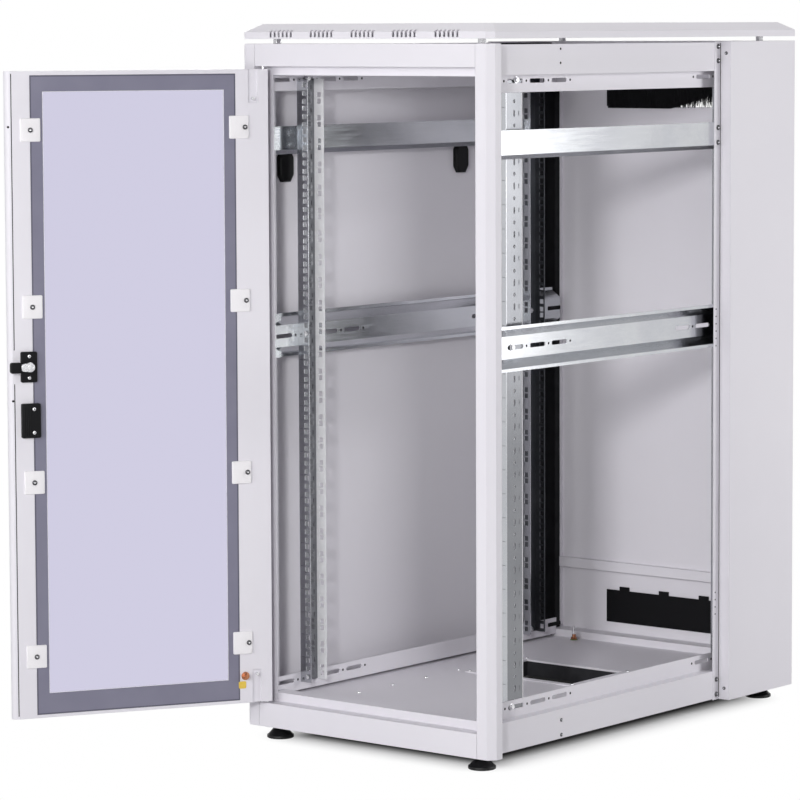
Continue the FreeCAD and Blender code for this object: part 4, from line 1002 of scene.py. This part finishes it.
def earth_points():
    """Nuts, washers, a threaded rod and a plain mark at the two earth studs."""
    low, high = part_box("earth_stud")
    middle = (low + high) / 2
    nut_radius, nut_height, lift = mm(7, 5, 1.2)
    washer = turned([mm(8, 0.0), mm(8, 1.0), mm(7.6, 1.3)], 28)
    nut = hexagon_head(nut_radius, nut_height)
    inside = Matrix.Translation((middle.x, middle.y, low.z))
    washer.piece("floor_earth_washer", "cabinet", GREEN, "copper", inside, smooth=35)
    above = inside @ Matrix.Translation((0, 0, lift))
    nut.piece("floor_earth_nut", "cabinet", COPPER, "copper", above, smooth=30)
    thread = []
    for turn in range(14):
        thread += [mm(2.6, 2 + 2 * turn), mm(3.0, 3 + 2 * turn)]
    rod = turned(thread, 16)
    rod.piece("floor_earth_rod", "cabinet", PLATED, "bright_plated_steel", inside, smooth=60)

    stud_low, stud_high = door_box("door_earth_stud")
    level = (stud_low.z + stud_high.z) / 2
    x = (stud_low.x + stud_high.x) / 2
    door_nut = Shape()
    door_nut.place(washer, on_door(x, level, stud_low.y))
    door_nut.place(nut, on_door(x, level, stud_low.y + lift))
    door_nut.piece("door_earth_nut", "door", COPPER, "copper", DOOR, smooth=30)
    width, height, depth, corner, edge = mm(15, 14, 0.3, 3, 0.1)
    beside, below = mm(6, 17)
    patch = Shape()
    patch.place(soft_plate(width, height, depth, corner, edge),
                on_door(x + beside, level - below, stud_low.y))
    patch.piece("door_earth_patch", "door", YELLOW, "light_grey_paint", DOOR)


# Stage

# Middle and half size of the floor's cores, under the cabinet and at its rear left corner, where its colour is
# painted near black as shade, and how far from them the floor begins and ends to turn white
FOOTPRINT = ((0.0, 0.0, 0.0), (0.20, 0.40, 0.0))
BEHIND = ((-0.21, 0.345, 0.0), (0.05, 0.02, 0.0))
SHADOW_START = -0.01
SHADOW_END = 0.125


def area_light(name, place, target, size, power, height=None):
    """A soft lamp, square unless its height is given."""
    data = bpy.data.lights.new(name, "AREA")
    data.shape = "RECTANGLE"
    data.size = size
    data.size_y = height or size
    data.energy = power
    lamp = add_object(name, data)
    lamp.location = place
    lamp.visible_camera = False
    lamp.rotation_mode = "QUATERNION"
    lamp.rotation_quaternion = (Vector(target) - Vector(place)).to_track_quat("-Z", "Y")


def seen_directly(tree):
    """One where the camera looks, also in metal and through glass, zero for light that falls on things."""
    path = tree.nodes.new("ShaderNodeLightPath")
    found = path.outputs["Is Camera Ray"]
    for kind in ("Is Glossy Ray", "Is Transmission Ray"):
        found = combined(tree, "MAXIMUM", found, path.outputs[kind])
    return found


def build_world():
    """White where the camera looks, softer grey for the light that falls on the object."""
    world = bpy.data.worlds.new("studio")
    bpy.context.scene.world = world
    world.use_nodes = True
    tree = world.node_tree
    tree.nodes.clear()
    output = tree.nodes.new("ShaderNodeOutputWorld")
    soft = add_node(tree, "ShaderNodeBackground", Color=(0.97, 0.97, 1.0, 1), Strength=0.10)
    white = add_node(tree, "ShaderNodeBackground", Color=(1, 1, 1, 1), Strength=1.0)
    mix_shaders(tree, seen_directly(tree), soft.outputs["Background"], white.outputs["Background"], output)


def distance_outside(tree, core):
    """How far a point of the floor lies outside a core, given by its middle and half size."""
    place = tree.nodes.new("ShaderNodeTexCoord")
    beyond = place.outputs["Object"]
    for operation, operand in (("SUBTRACT", core[0]), ("ABSOLUTE", None), ("SUBTRACT", core[1]),
                               ("MAXIMUM", (0, 0, 0))):
        step = tree.nodes.new("ShaderNodeVectorMath")
        step.operation = operation
        tree.links.new(beyond, step.inputs[0])
        if operand:
            step.inputs[1].default_value = operand
        beyond = step.outputs["Vector"]
    distance = tree.nodes.new("ShaderNodeVectorMath")
    distance.operation = "LENGTH"
    tree.links.new(beyond, distance.inputs[0])
    return distance.outputs["Value"]


def build_floor():
    """A pale floor that takes the object's shadow, with its colour painted near black as shade under the cabinet,
    and fades to white away from it.
    """
    half = 30.0
    mesh = bpy.data.meshes.new("floor")
    corners = [(-half, -half, 0), (half, -half, 0), (half, half, 0), (-half, half, 0)]
    mesh.from_pydata(corners, [], [(0, 1, 2, 3)])
    floor = add_object("floor", mesh)
    material, tree, output = empty_material("white_floor")
    nearest = combined(tree, "MINIMUM", distance_outside(tree, FOOTPRINT), distance_outside(tree, BEHIND))
    fade = add_node(tree, "ShaderNodeMapRange", Value=nearest, From_Min=SHADOW_START, From_Max=SHADOW_END,
                    To_Min=0.0, To_Max=1.0)
    fade.interpolation_type = "SMOOTHSTEP"
    lightness = fade.outputs["Result"]
    # Painted shade: the floor's colour turns near black in and near the cores
    shaded = (0.02, 0.02, 0.02)
    pale = (0.80, 0.80, 0.81)
    colour = between(tree, lightness, shaded, pale, start=0.02, end=0.30)
    diffuse = add_node(tree, "ShaderNodeBsdfDiffuse", Color=colour)
    white = add_node(tree, "ShaderNodeEmission", Color=(1, 1, 1, 1), Strength=1.0)
    seen = combined(tree, "MULTIPLY", seen_directly(tree), lightness)
    mix_shaders(tree, seen, diffuse.outputs["BSDF"], white.outputs["Emission"], output)
    mesh.materials.append(material)


def build_lights():
    """A small lamp in front on the right that throws the shadows, and five soft ones around it."""
    middle = (0, 0, 0.9)
    area_light("key", (2.25, -4.43, 1.76), middle, size=0.4, power=74)
    area_light("front", (0.2, -4.8, 1.6), middle, size=3.0, power=98)
    area_light("side", (4.4, 2.4, 1.6), middle, size=1.4, power=58)
    area_light("right_back", (1.87, 1.19, 1.05), (0.2, 0.0, 0.9), size=0.7, power=8, height=1.1)
    area_light("top", (0.1, 0.0, 3.0), middle, size=1.8, power=16)
    area_light("left_back", (-3.5, 4.0, 2.2), middle, size=3.0, power=110)


def build_camera():
    """The photograph's viewpoint: upright lines stay nearly upright, so the lens is shifted down a little."""
    place = Vector((4.2956, -5.7029, 1.3592))
    azimuth = math.radians(38.967)
    elevation = math.radians(4.951)
    roll = math.radians(-0.243)
    data = bpy.data.cameras.new("camera")
    data.lens = 164.08
    data.sensor_width = 36.0
    data.shift_y = -0.07
    data.clip_end = 200.0
    camera = add_object("camera", data)
    look = Vector((-math.sin(azimuth) * math.cos(elevation), math.cos(azimuth) * math.cos(elevation),
                   -math.sin(elevation)))
    turn = look.to_track_quat("-Z", "Y").to_matrix().to_4x4() @ Matrix.Rotation(roll, 4, "Z")
    camera.matrix_world = Matrix.Translation(place) @ turn
    bpy.context.scene.camera = camera


dress_nodes()
for rail_end in ("front", "rear"):
    for rail_side in ("left", "right"):
        rack_rail(rail_end, rail_side)
feet()
brush()
latches()
entry_shade_skirt()
column_shade_sheets()
rail_end_slots()
rail_bolts()
column_details()
side_rail_details()
floor_screws()
clips("hinge_side_glass_clips", screw_shift=-11.5 * MM)
clips("free_side_glass_clips", screw_shift=0.5 * MM)
glass_border()
door_rim()
lock()
handle_cover()
earth_points()
build_world()
build_floor()
build_lights()
build_camera()
bpy.context.scene.view_settings.view_transform = "Standard"
